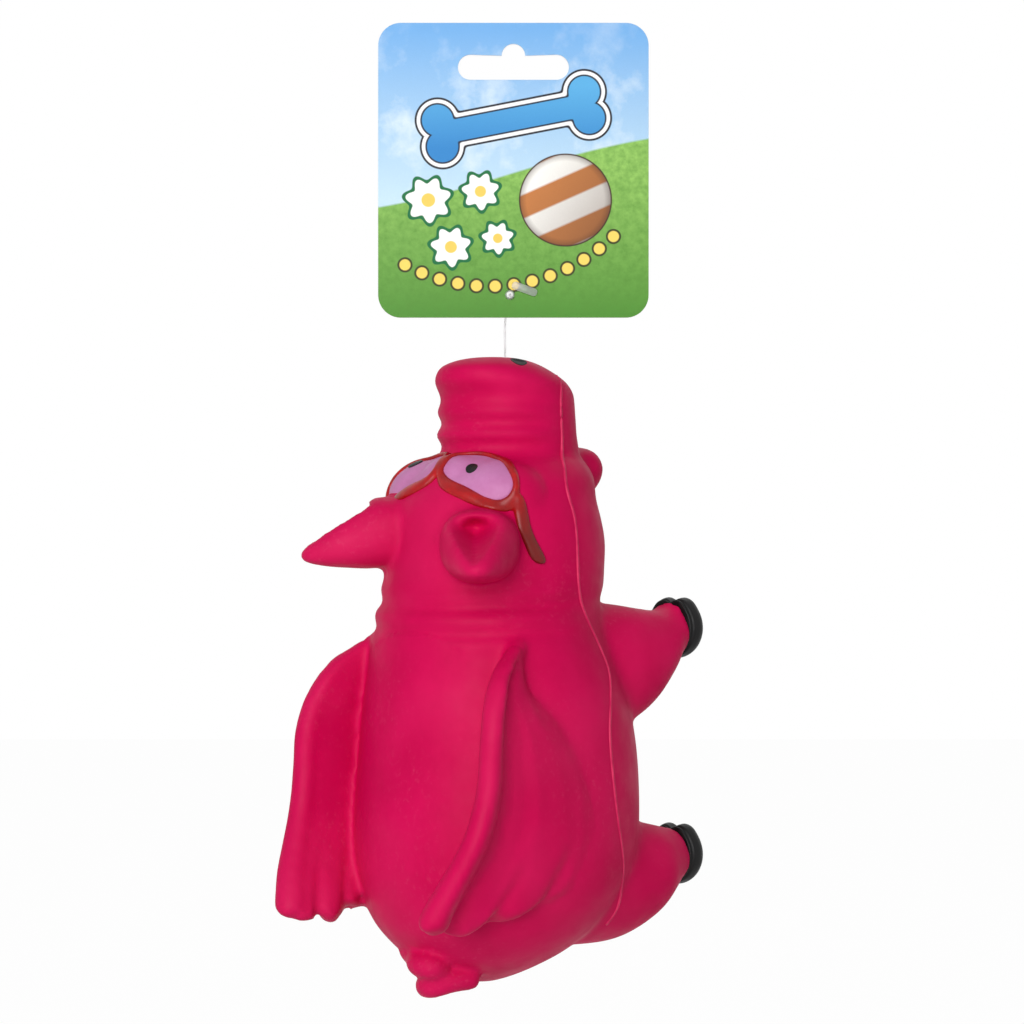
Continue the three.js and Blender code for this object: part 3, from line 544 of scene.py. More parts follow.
# Latex skin
# The pig is dipped in a two-part mould: snout, head, body, ears, wings, legs and tail are one skin of soft
# magenta latex, so its forms are drawn one by one here and then fused. Lengths are in the pig's own frame:
# the snout's tip at the origin, X to its right side, Y to its belly and Z to its nose.
flutter_axis = Vector(joints["reed_flutter"]["axis"])
pig_frame = Matrix.Translation(snout_tip) @ Matrix.Rotation(atan2(flutter_axis.y, flutter_axis.x), 4, "Z")
snout_length = 0.028
snout_radius = 0.0199
head_length = 0.046
head_radius = 0.0315
torso_length = 0.1048
torso_radius = 0.0412
head_top = -snout_length
neck_height = head_top - head_length
skin_grain = 0.0009

# Each row: height down the form, radius, and lean towards the belly, the last two as shares of the radius.
snout_shares = [
    (0, 0.02, -0.25), (0.004, 0.2, -0.26), (0.015, 0.36, -0.27), (0.05, 0.57, -0.28), (0.118, 0.77, -0.26),
    (0.2415, 0.94, -0.12), (0.36, 0.975, 0.01), (0.454, 0.98, 0.04), (0.571, 0.985, 0.05),
    (0.689, 0.99, 0.06), (0.804, 1, 0.06), (0.918, 1.005, 0.09), (1.1, 1.03, 0.1), (1.4, 1, 0.1),
]
head_shares = [
    (-0.12, 0.5, 0.06), (0, 0.64, 0.048), (0.06, 0.74, 0.01), (0.12, 0.815, -0.025), (0.175, 0.865, -0.07),
    (0.28, 0.92, -0.13), (0.4, 0.97, -0.14), (0.54, 0.995, -0.125), (0.7, 1, -0.14), (0.82, 1.005, -0.165),
    (0.91, 0.995, -0.2), (1, 1.015, -0.23), (1.15, 0.98, -0.23),
]
torso_shares = [
    (-0.05, 0.74, -0.18), (0, 0.777, -0.176), (0.0735, 0.82, -0.165), (0.156, 0.875, -0.125), (0.264, 0.937, -0.09),
    (0.4, 0.976, -0.075), (0.563, 1, -0.095), (0.677, 0.98, -0.114), (0.756, 0.915, -0.136),
    (0.811, 0.84, -0.16), (0.858, 0.74, -0.194), (0.912, 0.575, -0.235), (0.948, 0.42, -0.255),
    (0.976, 0.26, -0.255), (0.994, 0.12, -0.255), (1, 0.01, -0.255),
]


def barrel(shares, top, length, radius):
    """A round form drawn down through its rows."""

    def place(row, turn):
        drop, reach, lean = row
        side, back = reach * radius * sin(turn), reach * radius * cos(turn)
        return Vector((side, lean * radius - back, top - drop * length))

    return drawn(smooth_rows(shares, 6 * len(shares)), 72, place)


def ball(size, centre):
    """An ellipsoid of three full widths."""
    form = bmesh.new()
    bmesh.ops.create_uvsphere(form, u_segments=40, v_segments=24, radius=0.5)
    return moved(form, Matrix.LocRotScale(Vector(centre), None, Vector(size)))


# A swelling on the head carries each eye, and the brow fills the space between them.
mound_size = (0.03, 0.026, 0.023)
mound_side = 0.0125
mound_height = -0.041
mound_back = -0.015
brow_size = (0.024, 0.02, 0.021)
brow_place = (0, -0.0195, -0.0385)

# The lower lip pouts under the snout. Each row: its drop, and its size.
lip_top = head_top + 0.065 * head_length
lip_out = 0.775 * head_radius
lip_width = 0.028
lip_depth = 0.0195
lip_height = 0.0165
lip_shares = [
    (0.02, 0.3), (0.06, 0.62), (0.15, 0.84), (0.3, 0.97), (0.45, 1), (0.62, 0.94), (0.8, 0.78), (0.95, 0.5), (1, 0.2),
]


def lower_lip():
    def place(row, turn):
        drop, size = row
        x = size * lip_width * sin(turn) / 2
        return Vector((x, lip_out - size * lip_depth * cos(turn) / 2, lip_top - drop * lip_height))

    return drawn(smooth_rows(lip_shares, 30), 40, place)


# The ears stand out sideways and back, and their upper faces slope down to the tips, with a deep cup in
# each, creased down its middle. Each row: place along the ear, its width, its height, and how far its middle hangs.
ear_length = 0.0315
ear_width = 0.0226
ear_height = 0.0204
ear_shares = [
    (-0.25, 0.9, 0.8, -0.03), (0, 0.94, 0.88, -0.01), (0.19, 0.99, 0.98, 0), (0.33, 0.96, 0.98, -0.02),
    (0.42, 0.91, 0.91, -0.06), (0.56, 0.8, 0.77, -0.12), (0.72, 0.64, 0.58, -0.2), (0.84, 0.48, 0.41, -0.26),
    (0.94, 0.3, 0.24, -0.31), (0.985, 0.15, 0.12, -0.325), (1, 0.02, 0.02, -0.33),
]
cup_top = 0.0088
cup_back = 0.0046
cup_low = -0.0054
cup_reach = 0.0066
cup_crease = -0.0011
cup_height = 0.0095
cup_depth = 0.0145
cup_lip = 0.0014
# How square the ear's section is, across and up: 1 is a plain oval.
ear_squareness = (0.86, 0.84)
# How far out each ear's root is, as a share of the head's radius there.
ear_root = 0.8
# How far round the head each ear's root is, which way the ear points, and how far down the head it sits.
ear_places = {1: (radians(32.5), radians(41), 0.56), -1: (radians(38), radians(38), 0.482)}


def head_section(drop):
    """The radius and lean of the head at a share of its height."""
    low = max(row for row in head_shares if row[0] <= drop)
    high = min(row for row in head_shares if row[0] > drop)
    part = (drop - low[0]) / (high[0] - low[0])
    return [(low[i] + part * (high[i] - low[i])) * head_radius for i in (1, 2)]


def ramp(value, low, high):
    """Rises smoothly from 0 to 1 as a value passes from one limit to the other."""
    share = min(1, max(0, (value - low) / (high - low)))
    return share * share * (3 - 2 * share)


def bell(value, middle, width):
    """1 at the middle, falling away to nothing a few widths from it."""
    return exp(-(((value - middle) / width) ** 2))


def cup(across, lift):
    """How deep the cup is at a point of the ear seen from its tip."""
    share = min(1, max(0.001, (lift - cup_low) / cup_height)) ** 0.7
    away = abs(across - cup_crease) / (cup_reach * share)
    lip = cup_lip * bell(away, 1.2, 0.2)
    return (cup_depth * max(0, 1 - away) ** 0.8 - lip) * share * (1 - ramp(lift, cup_back, cup_top))


def ear(side):
    turn, aim, drop = ear_places[side]
    radius, lean = head_section(drop)
    root_way = Vector((side * sin(turn), -cos(turn), 0))
    outward = Vector((side * sin(aim), -cos(aim), 0))
    across = Vector((cos(aim), side * sin(aim), 0))
    root = Vector((0, lean, head_top - drop * head_length)) + ear_root * radius * root_way

    def place(row, angle):
        along, width, height, hang = row
        wide, high = (copysign(abs(v) ** power, v) for v, power in zip((cos(angle), sin(angle)), ear_squareness))
        aside = wide * width * ear_width / 2
        lift = high * height * ear_height / 2 + hang * ear_height
        out = along * ear_length - cup(aside, lift) * ramp(high, 0, 0.25)
        return root + out * outward + aside * across + Vector((0, 0, lift))

    return drawn(smooth_rows(ear_shares, 130), 200, place)


# The wings fold back against the flanks: a round ridge leads from the shoulder, a blade fills the space
# behind it, and lobed feathers end it. Each row: height down the torso, the ridge's place out to the side
# and off the back, its size, and where the blade's outer edge meets the flank, out and off the back.
ridge_radius = 0.0036
wing_shares = [
    (0.02, 0.56, 0.41, 0.4, 0.63, 0.46),
    (0.057, 0.67, 0.58, 0.75, 0.7, 0.56),
    (0.095, 0.735, 0.725, 0.85, 0.72, 0.62),
    (0.134, 0.78, 0.86, 0.95, 0.73, 0.64),
    (0.2, 0.823, 0.985, 1, 0.765, 0.6),
    (0.3, 0.866, 1.075, 1, 0.885, 0.4),
    (0.42, 0.868, 1.105, 1, 0.95, 0.27),
    (0.506, 0.85, 1.145, 1.05, 0.975, 0.2),
    (0.592, 0.818, 1.225, 1.1, 0.975, 0.18),
    (0.677, 0.758, 1.335, 1.2, 0.94, 0.25),
    (0.74, 0.7, 1.4, 1.3, 0.89, 0.33),
    (0.785, 0.67, 1.435, 1.3, 0.84, 0.4),
    (0.84, 0.655, 1.45, 1.3, 0.79, 0.44),
]
# The blade's outer face: place from ridge to flank, and how far it stands out, by the ridge's radius.
blade_shares = [
    (0, 0.95), (0.05, 0.75), (0.12, 0.1), (0.2, -0.25), (0.32, 0), (0.5, 0.4), (0.7, 0.5), (0.86, 0.4),
    (0.96, 0.25), (1, 0.05), (1.03, -0.5), (1.1, -2.4),
]
# How far down each part of the blade reaches: its place from ridge to flank, and the drop of its edge.
feather_shares = [
    (-0.3, 0.76), (-0.12, 0.79), (-0.04, 0.806), (0.05, 0.818), (0.12, 0.812), (0.17, 0.79), (0.21, 0.804),
    (0.29, 0.832), (0.38, 0.826), (0.44, 0.8), (0.48, 0.772), (0.51, 0.78), (0.58, 0.799), (0.66, 0.797),
    (0.75, 0.778), (0.79, 0.757), (0.82, 0.764), (0.9, 0.748), (1, 0.71), (1.2, 0.62),
]
feather_grooves = [(0.17, 0.045), (0.48, 0.045), (0.79, 0.04)]
groove_depth = 0.0016
feather_round = 0.0036
inner_swell = 0.003
# Where the blade's inner face ends, from the ridge, and how thick the ridge still is at its very end.
inner_root_shift = Vector((-0.12, 0.65))
ridge_end_share = 0.35


def along_table(table, place):
    """A value read between the rows of a table."""
    for low, high in zip(table, table[1:]):
        if place <= high[0]:
            return low[1] + ramp(place, low[0], high[0]) * (high[1] - low[1])
    return table[-1][1]


def wing(side):
    section_rows = smooth_rows(wing_shares, 160)
    ridge_steps, outer_steps, inner_steps = 14, 34, 12
    reaches = [row[0] for row in smooth_rows(blade_shares, outer_steps)]
    ring = [("outer", reach) for reach in reversed(reaches)]
    ring += [("ridge", step / ridge_steps) for step in range(1, ridge_steps)]
    ring += [("inner", step / inner_steps) for step in range(inner_steps + 1)]

    def section(drop):
        row = min(section_rows, key=lambda row: abs(row[0] - drop))
        ridge = Vector((row[1], -row[2])) * torso_radius
        flank = Vector((row[4], -row[5])) * torso_radius
        chord = (flank - ridge).normalized()
        return ridge, flank, chord, Vector((chord.y, -chord.x)), row[3] * ridge_radius

    def place(row, turn):
        kind, share = ring[round(turn / (2 * pi) * len(ring)) % len(ring)]
        reach = -0.05 * sin(pi * share) if kind == "ridge" else share
        end = along_table(feather_shares, reach)
        start = wing_shares[0][0]
        drop = start + row * (end - start)
        ridge, flank, chord, outward, radius = section(drop)
        edge = (end - drop) * torso_length
        round_off = sqrt(max(0, 1 - max(0, 1 - edge / feather_round) ** 2))
        groove = sum(bell(reach, middle, width) for middle, width in feather_grooves)
        groove *= groove_depth * (1 - ramp(edge, 0.003, 0.02))
        if kind == "ridge":
            angle = pi * share
            shift = -radius * sin(angle) * chord + radius * cos(angle) * round_off * outward
            point = ridge + shift * (ridge_end_share + (1 - ridge_end_share) * round_off)
        elif kind == "outer":
            stand = along_table(blade_shares, reach) * radius - groove
            point = ridge + (flank - ridge) * reach + ((stand + radius) * round_off - radius) * outward
        else:
            start = ridge - radius * outward
            inner_root = ridge + inner_root_shift * torso_radius
            full = start + (inner_root - start) * share - (inner_swell * sin(pi * share) - groove) * outward
            middle = ridge + (flank - ridge) * reach - radius * outward
            point = middle + (full - middle) * round_off
        return Vector((side * point.x, point.y, neck_height - drop * torso_length))

    steps = 70
    rows = [sin(pi / 2 * step / steps) for step in range(steps + 1)]
    return drawn(rows, len(ring), place)


# The legs run out from the belly's sides. Each row: how far out and across, by the torso's radius, then the
# place up from the hoof, half the width and half the height, by the leg's radius.
leg_radius = 0.0084
front_leg_shares = [
    (0.28, 0.35, -1.22, 1.9, 2.16), (0.56, 0.44, -1.28, 1.84, 2.16), (0.77, 0.51, -1.1, 1.6, 1.82),
    (0.935, 0.56, -0.68, 1.3, 1.3), (1.035, 0.59, -0.26, 1.03, 0.99), (1.088, 0.607, 0, 1, 1),
]
hind_leg_shares = [
    (0.18, 0.35, -0.62, 2.4, 2.26), (0.52, 0.43, -0.68, 2.2, 2.14), (0.77, 0.53, -0.5, 1.78, 1.73),
    (0.935, 0.57, -0.26, 1.36, 1.31), (1.035, 0.595, -0.08, 1.04, 1.02), (1.088, 0.607, 0, 1, 1),
]
front_hoof_height = neck_height - 0.042 * torso_length
hind_hoof_height = neck_height - 0.675 * torso_length


def leg(shares, side, hoof_height):
    def place(row, turn):
        out, across, lift, width, height = row
        x = side * (across * torso_radius + width * leg_radius * sin(turn))
        z = hoof_height + (lift + height * cos(turn)) * leg_radius
        return Vector((x, out * torso_radius, z))

    return drawn(smooth_rows(shares, 30), 48, place)


# The tail leaves the rump and curls round on itself, one turn lying on the next. Each row: a point of its
# middle line, and its radius as a share of the tail's.
tail_radius = 0.0036
tail_rows = [
    (-0.0106, -0.0286, -0.1685, 1), (-0.0056, -0.0309, -0.1704, 1),
    (-0.0009, -0.0347, -0.1716, 1), (0.0035, -0.0352, -0.172, 1),
    (0.004, -0.0325, -0.1725, 1), (0.001, -0.0276, -0.1742, 0.9),
    (-0.003, -0.0259, -0.1766, 0.9), (-0.0031, -0.0286, -0.1779, 0.97),
    (-0.0009, -0.0314, -0.1781, 0.97), (0.0023, -0.0319, -0.1776, 0.96),
    (0.0052, -0.0301, -0.1766, 0.94), (0.0072, -0.0269, -0.176, 0.92),
    (0.0084, -0.024, -0.1758, 0.92), (0.0089, -0.0225, -0.1757, 0.8),
    (0.0093, -0.0216, -0.1757, 0.35),
]


def tail():
    line = smooth_rows(tail_rows, 110)
    return tube([Vector(row[:3]) for row in line], [tail_radius * row[3] for row in line], 24)


def fused(forms, grain):
    """Closed forms that overlap, as one closed skin, by a remesh on a fine grid."""
    bm = bmesh.new()
    for form in forms:
        add_form(bm, form)
    shape = add_object("forms", to_mesh("forms", bm))
    remesh = shape.modifiers.new("fuse", "REMESH")
    remesh.mode = "VOXEL"
    remesh.voxel_size = grain
    return evaluated(shape)


def skin_forms():
    """All the forms of the pig."""
    forms = [
        barrel(snout_shares, 0, snout_length, snout_radius),
        barrel(head_shares, head_top, head_length, head_radius),
        barrel(torso_shares, neck_height, torso_length, torso_radius),
        ball(brow_size, brow_place),
        lower_lip(),
        ear(1),
        ear(-1),
        tail(),
    ]
    for side in (1, -1):
        forms += [
            ball(mound_size, (side * mound_side, mound_back, mound_height)),
            wing(side),
            leg(front_leg_shares, side, front_hoof_height),
            leg(hind_leg_shares, side, hind_hoof_height),
        ]
    return forms


def smoothed(bm, verts, rounds):
    for _ in range(rounds):
        bmesh.ops.smooth_vert(bm, verts=verts, factor=0.5, use_axis_x=True, use_axis_y=True, use_axis_z=True)


crease_bend = -0.3
thin_bend = 0.75
shoulders = neck_height - 0.012
wings_low = neck_height - 0.7 * torso_length


def soften(bm):
    """Fills the sharp creases between the forms, as latex does in a mould, and rounds thin edges. The creases
    inside the wings and beside the ears stay deep."""
    creased, thin = set(), set()
    for edge in bm.edges:
        bend = edge.calc_face_angle_signed(0)
        if bend < crease_bend:
            creased.update(edge.verts)
        elif bend > thin_bend and edge.verts[0].co.y < 0:
            thin.update(edge.verts)

    def filled(vert):
        x, y, z = vert.co
        in_wing = 0.01 < abs(x) < 0.8 * torso_radius and z < shoulders and y < -0.3 * torso_radius
        by_ear = z >= neck_height and hypot(x, y) >= 1.12 * head_radius
        return (z > wings_low or y > 0) and not in_wing and not by_ear

    creased = {vert for vert in creased if filled(vert)}
    for verts, steps in ((creased, 3), (thin, 2)):
        for _ in range(steps):
            verts |= {edge.other_vert(vert) for vert in verts for edge in vert.link_edges}
    for verts, rounds in ((creased, 14), (thin, 6), (bm.verts, 3)):
        smoothed(bm, list(verts), rounds)


def tenths(*rows):
    """Rows given in tenths of a millimetre, in metres."""
    return [[value / 10000 for value in row] for row in rows]


# Folds in the skin. Each: its height in the pig's frame, its lift out of the skin, and half its width.
snout_folds = tenths(
    (-124, -4, 22), (-158, 6, 22), (-191, -6, 20), (-224, 7, 20), (-256, -5, 20),
)
nape_low, nape_high = -0.09, -0.06
nape_reach = 0.04
# The nape's folds waver as they cross the back.
nape_wave, nape_wave_count, nape_wave_turn = 0.0007, 2.2, 0.8
nape_folds = tenths(
    (-670, 4, 20), (-706, -6, 18), (-742, 4, 20), (-778, -6, 18), (-816, 3, 20),
)


# The nostrils are slanting ovals in the face of the snout.
nostril_place = Vector((0.0105, -0.0058))
nostril_long = 0.0048
nostril_wide = 0.0024
nostril_slant = radians(-48)
nostril_depth = 0.0008
nostril_floor = -0.006
nostril_reach = 1.4


def in_nostril(x, y):
    """How far out a point of the snout's face lies from a nostril's middle: 1 is its edge."""
    away = Vector((abs(x), y)) - nostril_place
    along = away.x * cos(nostril_slant) + away.y * sin(nostril_slant)
    across = away.y * cos(nostril_slant) - away.x * sin(nostril_slant)
    return hypot(along / nostril_long, across / nostril_wide)


def fold_skin(bm):
    """Presses the folds of the snout and the nape into the skin, which cross the back and die at the sides,
    and the dimples of the nostrils."""
    for vert in bm.verts:
        x, y, z = vert.co
        turn = atan2(x, -y)
        folds, level, back = [], z, 0
        if z > head_top - 0.002 and abs(x) < 1.2 * snout_radius:
            folds, back = snout_folds, ramp(cos(turn), 0, 0.5)
        elif nape_low < z < nape_high and hypot(x, y) < nape_reach:
            folds, back = nape_folds, ramp(cos(turn), 0.05, 0.5)
            level = z + nape_wave * sin(nape_wave_count * turn + nape_wave_turn)
        shift = sum(back * lift * bell(level, height, width) for height, lift, width in folds)
        if shift:
            vert.co += shift * vert.normal
        away = in_nostril(x, y) if z > nostril_floor else nostril_reach
        if away < nostril_reach:
            vert.co.z -= nostril_depth * exp(-((away / 0.8) ** 4))


# The squeaker sits in a round seat pressed into the belly, with a pocket behind it for its tube.
squeaker_height = neck_height - 0.43 * torso_length
seat_level = 0.03535
flange_radius = 0.0105
tube_radius = 0.007
seat_gap = 0.0003
pocket_depth = 0.0195
seat_overrun = 0.02
seat_place = Matrix.Translation((0, seat_level, squeaker_height)) @ Matrix.Rotation(-pi / 2, 4, "X")


def spun(profile, steps=96):
    """A form turned on a lathe about Z, from its half outline of radii and heights."""
    form = bmesh.new()
    verts = [form.verts.new((radius, 0, height)) for radius, height in profile]
    edges = [form.edges.new(pair) for pair in zip(verts, verts[1:])]
    bmesh.ops.spin(
        form, geom=verts + edges, cent=(0, 0, 0), axis=(0, 0, 1), angle=2 * pi, steps=steps, use_merge=True
    )
    bmesh.ops.remove_doubles(form, verts=form.verts, dist=1e-7)
    bmesh.ops.recalc_face_normals(form, faces=form.faces)
    return form


def seat_cutter():
    wide, narrow = flange_radius + seat_gap, tube_radius + 2 * seat_gap
    outline = [
        (0, -pocket_depth), (narrow, -pocket_depth), (narrow, 0), (wide, 0), (wide, seat_overrun), (0, seat_overrun),
    ]
    return to_mesh("seat_cutter", spun(outline), seat_place)


def skin_mesh():
    bm = bmesh.new()
    bm.from_mesh(fused(skin_forms(), skin_grain))
    soften(bm)
    bm.normal_update()
    fold_skin(bm)
    shape = add_object("skin", to_mesh("skin", bm))
    cutter = add_object("seat_cutter", seat_cutter())
    seat = shape.modifiers.new("seat", "BOOLEAN")
    seat.operation = "DIFFERENCE"
    seat.object = cutter
    seat.solver = "EXACT"
    mesh = evaluated(shape)
    bpy.data.objects.remove(cutter)
    mesh.set_sharp_from_angle(angle=radians(55))
    return mesh


def latex():
    paint, place = new_paint("magenta_latex")
    cloudy = place.noise(45, 4, 0.6).ranged(0.35, 0.7)
    # Lighter pink patches are mixed in at random: partly the latex's own dusty bloom, partly a painted sheen that
    # stands in for the soft highlight on its lit faces.
    bloom_and_sheen = place.noise(22, 3, 0.55).ranged(0.42, 0.72, 0, 0.4)
    dust_and_sheen = place.noise(700, 3, 0.65).ranged(0.55, 0.75, 0, 0.2) * place.noise(28, 2).ranged(0.45, 0.65)
    body = cloudy.mixed(ink(196, 0, 74), ink(208, 4, 82))
    body = dust_and_sheen.mixed(bloom_and_sheen.mixed(body, ink(218, 40, 96)), ink(222, 84, 120))
    relief = place.noise(260, 3) * 0.6 + place.noise(1500, 2) * 0.15
    return coated(paint, {
        "Base Color": body, "Roughness": place.noise(160, 3).ranged(0.3, 0.7, 0.48, 0.62),
        "Specular IOR Level": 0.1, "Normal": relief.bump(0.00025, 0.35),
    })


pig_skin = skin_mesh()
skin_form = bmesh.new()
skin_form.from_mesh(pig_skin)
skin_tree = BVHTree.FromBMesh(skin_form)
skin_form.free()
pig_skin.transform(pig_frame)
skin = finished("latex_skin", pig_skin, "toy", "latex", latex())
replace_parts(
    skin, "snout", "head", "torso", "lower_lip", "right_ear", "left_ear", "right_wing", "left_wing",
    "right_front_leg", "left_front_leg", "right_hind_leg", "left_hind_leg", "curly_tail",
)


# Mould seam
# A thin flash line of latex runs down each side, where the two halves of the mould met. Each row: height in
# the pig's frame, and how far it lies towards the belly.
seam_rows = tenths(
    (-55, 45), (-110, 24), (-190, 23), (-268, 20), (-312, -12), (-355, -42), (-400, -50), (-460, -44), (-625, -42),
    (-680, -32), (-745, -2), (-820, 42), (-895, 66), (-975, 36), (-1070, 6), (-1215, 10), (-1340, 32), (-1465, 82),
    (-1550, 108), (-1620, 94),
)
seam_radius = 0.00055
seam_sunk = 0.35
beside_body = 0.12


def on_skin(start, way):
    """Where a line meets the skin, and which way the skin faces there."""
    return skin_tree.ray_cast(start, way)[:2]


def seam(side):
    points = []
    for height, belly in smooth_rows(seam_rows, 150):
        point, normal = on_skin(Vector((side * beside_body, belly, height)), Vector((-side, 0, 0)))
        points.append(point - seam_sunk * seam_radius * normal)
    for _ in range(6):
        middles = [(a + 2 * b + c) / 4 for a, b, c in zip(points, points[1:], points[2:])]
        points = points[:1] + middles + points[-1:]
    return tube(points, seam_radius, 12)


def seam_mesh():
    bm = bmesh.new()
    for side in (-1, 1):
        add_form(bm, seam(side))
    return to_mesh("mould_seam", bm, pig_frame)


def seam_latex():
    paint, place = new_paint("seam_latex")
    # The flash line's latex is mixed in patches with a magenta lighter than the skin's.
    lighter_patches = place.noise(320, 3).ranged(0.3, 0.7)
    colour = lighter_patches.mixed(ink(192, 10, 76), ink(216, 46, 96))
    return coated(paint, {"Base Color": colour, "Roughness": 0.5, "Specular IOR Level": 0.25})


seam_line = finished("mould_seam", seam_mesh(), "toy", "latex", seam_latex())


# Hooves
# The toes are moulded with the legs and dipped in black paint. Each is a low dome, split at the front
# where the two toes part, and rooted in the end of its leg.
hoof_radius = 0.0084
hoof_height = 0.0059
leg_end = front_leg_shares[-1]
hoof_root = leg_end[0] * torso_radius + seat_gap
hoof_side = leg_end[1] * torso_radius
toe_split, toe_split_width = 0.24, 0.17
toe_swell, toe_swell_turn, toe_swell_width = 0.06, 0.5, 0.3
hoof_rows = [
    (-0.2, 0.3), (-0.2, 0.93), (-0.03, 0.95), (0.06, 1.02), (0.2, 1.05), (0.42, 1.07), (0.62, 1.04), (0.78, 0.97),
    (0.89, 0.84), (0.96, 0.62), (1, 0.3), (1, 0.02),
]


def hoof(side, level):
    def place(row, turn):
        out, reach = row
        toe = abs(turn)
        split = toe_split * bell(toe, 0, toe_split_width) * min(1, 0.55 + out)
        lobe = toe_swell * bell(toe, toe_swell_turn, toe_swell_width)
        radius = hoof_radius * reach * (1 - split + lobe)
        x = side * hoof_side + radius * sin(turn)
        return Vector((x, hoof_root + out * hoof_height, level + radius * cos(turn)))

    return drawn(smooth_rows(hoof_rows, 44), 120, place)


def black_paint(name, gloss):
    paint, place = new_paint(name)
    wear = place.noise(380, 4, 0.65).ranged(0.4, 0.75)
    return coated(paint, {
        "Base Color": wear.mixed(ink(8, 8, 9), ink(20, 19, 20)), "Roughness": wear.ranged(0, 1, 0.4, 0.6),
        "Specular IOR Level": gloss, "Normal": place.noise(420, 3).bump(0.00015, 0.35),
    })


black = black_paint("black_paint", 0.2)
side_names = {1: "right", -1: "left"}
for side, side_name in side_names.items():
    for level, end_name in ((front_hoof_height, "front"), (hind_hoof_height, "hind")):
        node = f"{side_name}_{end_name}_hoof"
        toes = to_mesh(node, hoof(side, level), pig_frame)
        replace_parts(finished(f"{node}_toes", toes, "toy", "black_paint", black), node)


# Nostrils
# Two dimples in the face of the snout, each dabbed with a black paint that is duller than the hooves'.
paint_over = 0.00008
paint_under = -0.0004
above_snout = 0.05


def spot(place, sides, rings):
    """A thin coat of paint. Each of its rows: a share of the way out, and whether it is the coat's top."""
    shares = [0.002] + [step / rings for step in range(1, rings + 1)]
    rows = [(share, False) for share in shares] + [(share, True) for share in reversed(shares)]
    return drawn(rows, sides, place)


def nostril(centre, slant):
    across = Vector((-slant.y, slant.x, 0))
    down = Vector((0, 0, -1))

    def place(row, turn):
        share, top = row
        flat = centre + share * (nostril_long * cos(turn) * slant + nostril_wide * sin(turn) * across)
        return on_skin(flat - above_snout * down, down)[0] - (paint_over if top else paint_under) * down

    return spot(place, 48, 10)


dull_black = black_paint("dull_black_paint", 0.02)
for side, side_name in side_names.items():
    slant = Vector((side * cos(nostril_slant), sin(nostril_slant), 0))
    node = f"{side_name}_nostril"
    coat = to_mesh(node, nostril(Vector((side * nostril_place.x, nostril_place.y, 0)), slant), pig_frame)
    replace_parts(finished(f"{node}_paint", coat, "toy", "black_paint", dull_black), node)


# Spectacles
# The frame is moulded with the brow, thick below the eyes and thin above, and painted a deep glossy red
# that turns brown down the temples. Each row: a point of the right lens's outline seen face on, across and
# up, and the width of the frame outside it.
eye_turn = radians(30)
eye_tilt = radians(36)
eye_centre = Vector((0.0129, -0.02426, -0.03398))
eye_across = Vector((cos(eye_turn), sin(eye_turn), 0))
eye_back = cos(eye_turn) * cos(eye_tilt)
eye_facing = Vector((sin(eye_turn) * cos(eye_tilt), -eye_back, sin(eye_tilt)))
eye_up = eye_facing.cross(eye_across)
lens_rows = tenths(
    (-117, 41, 18), (-109, 63, 16), (-91, 79, 15), (-66, 90, 14), (-36, 92, 14), (-2, 85, 18), (35, 62, 24),
    (60, 35, 26), (79, 4, 25), (93, -22, 22), (100, -43, 20), (98, -63, 23), (85, -81, 31), (63, -90, 36),
    (41, -88, 37), (17, -79, 38), (-10, -63, 41), (-38, -45, 43), (-68, -26, 43), (-94, -6, 38), (-112, 16, 26),
)
frame_height = 0.0013
frame_foot = 0.0008
frame_lap = 0.0002
frame_grain = 0.00042
# How round the tops of the rim, the temples and the bridge are: less is flatter.
rim_roundness, arm_roundness = 0.7, 0.6
lens_steps = 132
before_eye = 0.05


def lens_edge():
    """The lens's outline on its plane, with the way out of it and the frame's width."""
    loop = smooth_rows(3 * lens_rows + lens_rows[:1], 3 * lens_steps)[lens_steps : 2 * lens_steps]
    edge = []
    for index, (x, y, width) in enumerate(loop):
        before, after = loop[index - 1], loop[(index + 1) % lens_steps]
        way = Vector((after[0] - before[0], after[1] - before[1])).normalized()
        edge.append((Vector((x, y)), Vector((-way.y, way.x)), width))
    return edge


def on_brow(flat, rise):
    """A point of the eye's plane carried down onto the brow, and raised off it."""
    start = eye_centre + flat.x * eye_across + flat.y * eye_up + before_eye * eye_facing
    point, normal = on_skin(start, -eye_facing)
    return point + rise * (0.6 * eye_facing + 0.4 * normal).normalized()


def bead(turn, roundness, height=frame_height):
    """How far the frame stands off the skin round its section: a rounded top on a foot under the skin."""
    return height * max(0, sin(turn)) ** roundness - frame_foot * max(0, -sin(turn)) ** 0.5


def frame_rim():
    edge = lens_edge()

    def place(row, turn):
        point, out, width = row
        share = 0.5 - 0.5 * cos(turn)
        return on_brow(point + out * (width * share - frame_lap), bead(turn, rim_roundness))

    return drawn(edge + edge[:1], 28, place, closed=True)


# Down the temple: its turn round the head in degrees, its height, and its half width.
temple_rows = [
    (54, -0.0398, 0.0012), (54.7, -0.0418, 0.0018), (55.6, -0.0444, 0.0021), (56.9, -0.0485, 0.0021),
    (59, -0.0515, 0.0021), (61.3, -0.0541, 0.0022), (63.6, -0.0566, 0.0023), (65.3, -0.0583, 0.0018),
    (66, -0.0591, 0.0007),
]
temple_lean = -0.13
temple_full_half = 0.0014
beside_temple = 0.08


def temple():
    def place(row, turn):
        angle, height, half = row
        outward = Vector((sin(radians(angle)), -cos(radians(angle)), 0))
        level = Vector((-outward.y, outward.x, 0))
        start = Vector((0, temple_lean * head_radius, height)) - half * cos(turn) * level
        point, normal = on_skin(start + beside_temple * outward, -outward)
        return point + min(1, half / temple_full_half) * bead(turn, arm_roundness) * normal

    return drawn(smooth_rows(temple_rows, 60), 24, place)


# Across the bridge: place to the side, then height and half height.
bridge_rows = tenths(
    (-16, -318, 44), (0, -318, 36), (16, -318, 44),
)
bridge_back = -0.026
bridge_slope = Vector((0, 0.5, 0.87))
bridge_share = 0.9
before_bridge = 0.04


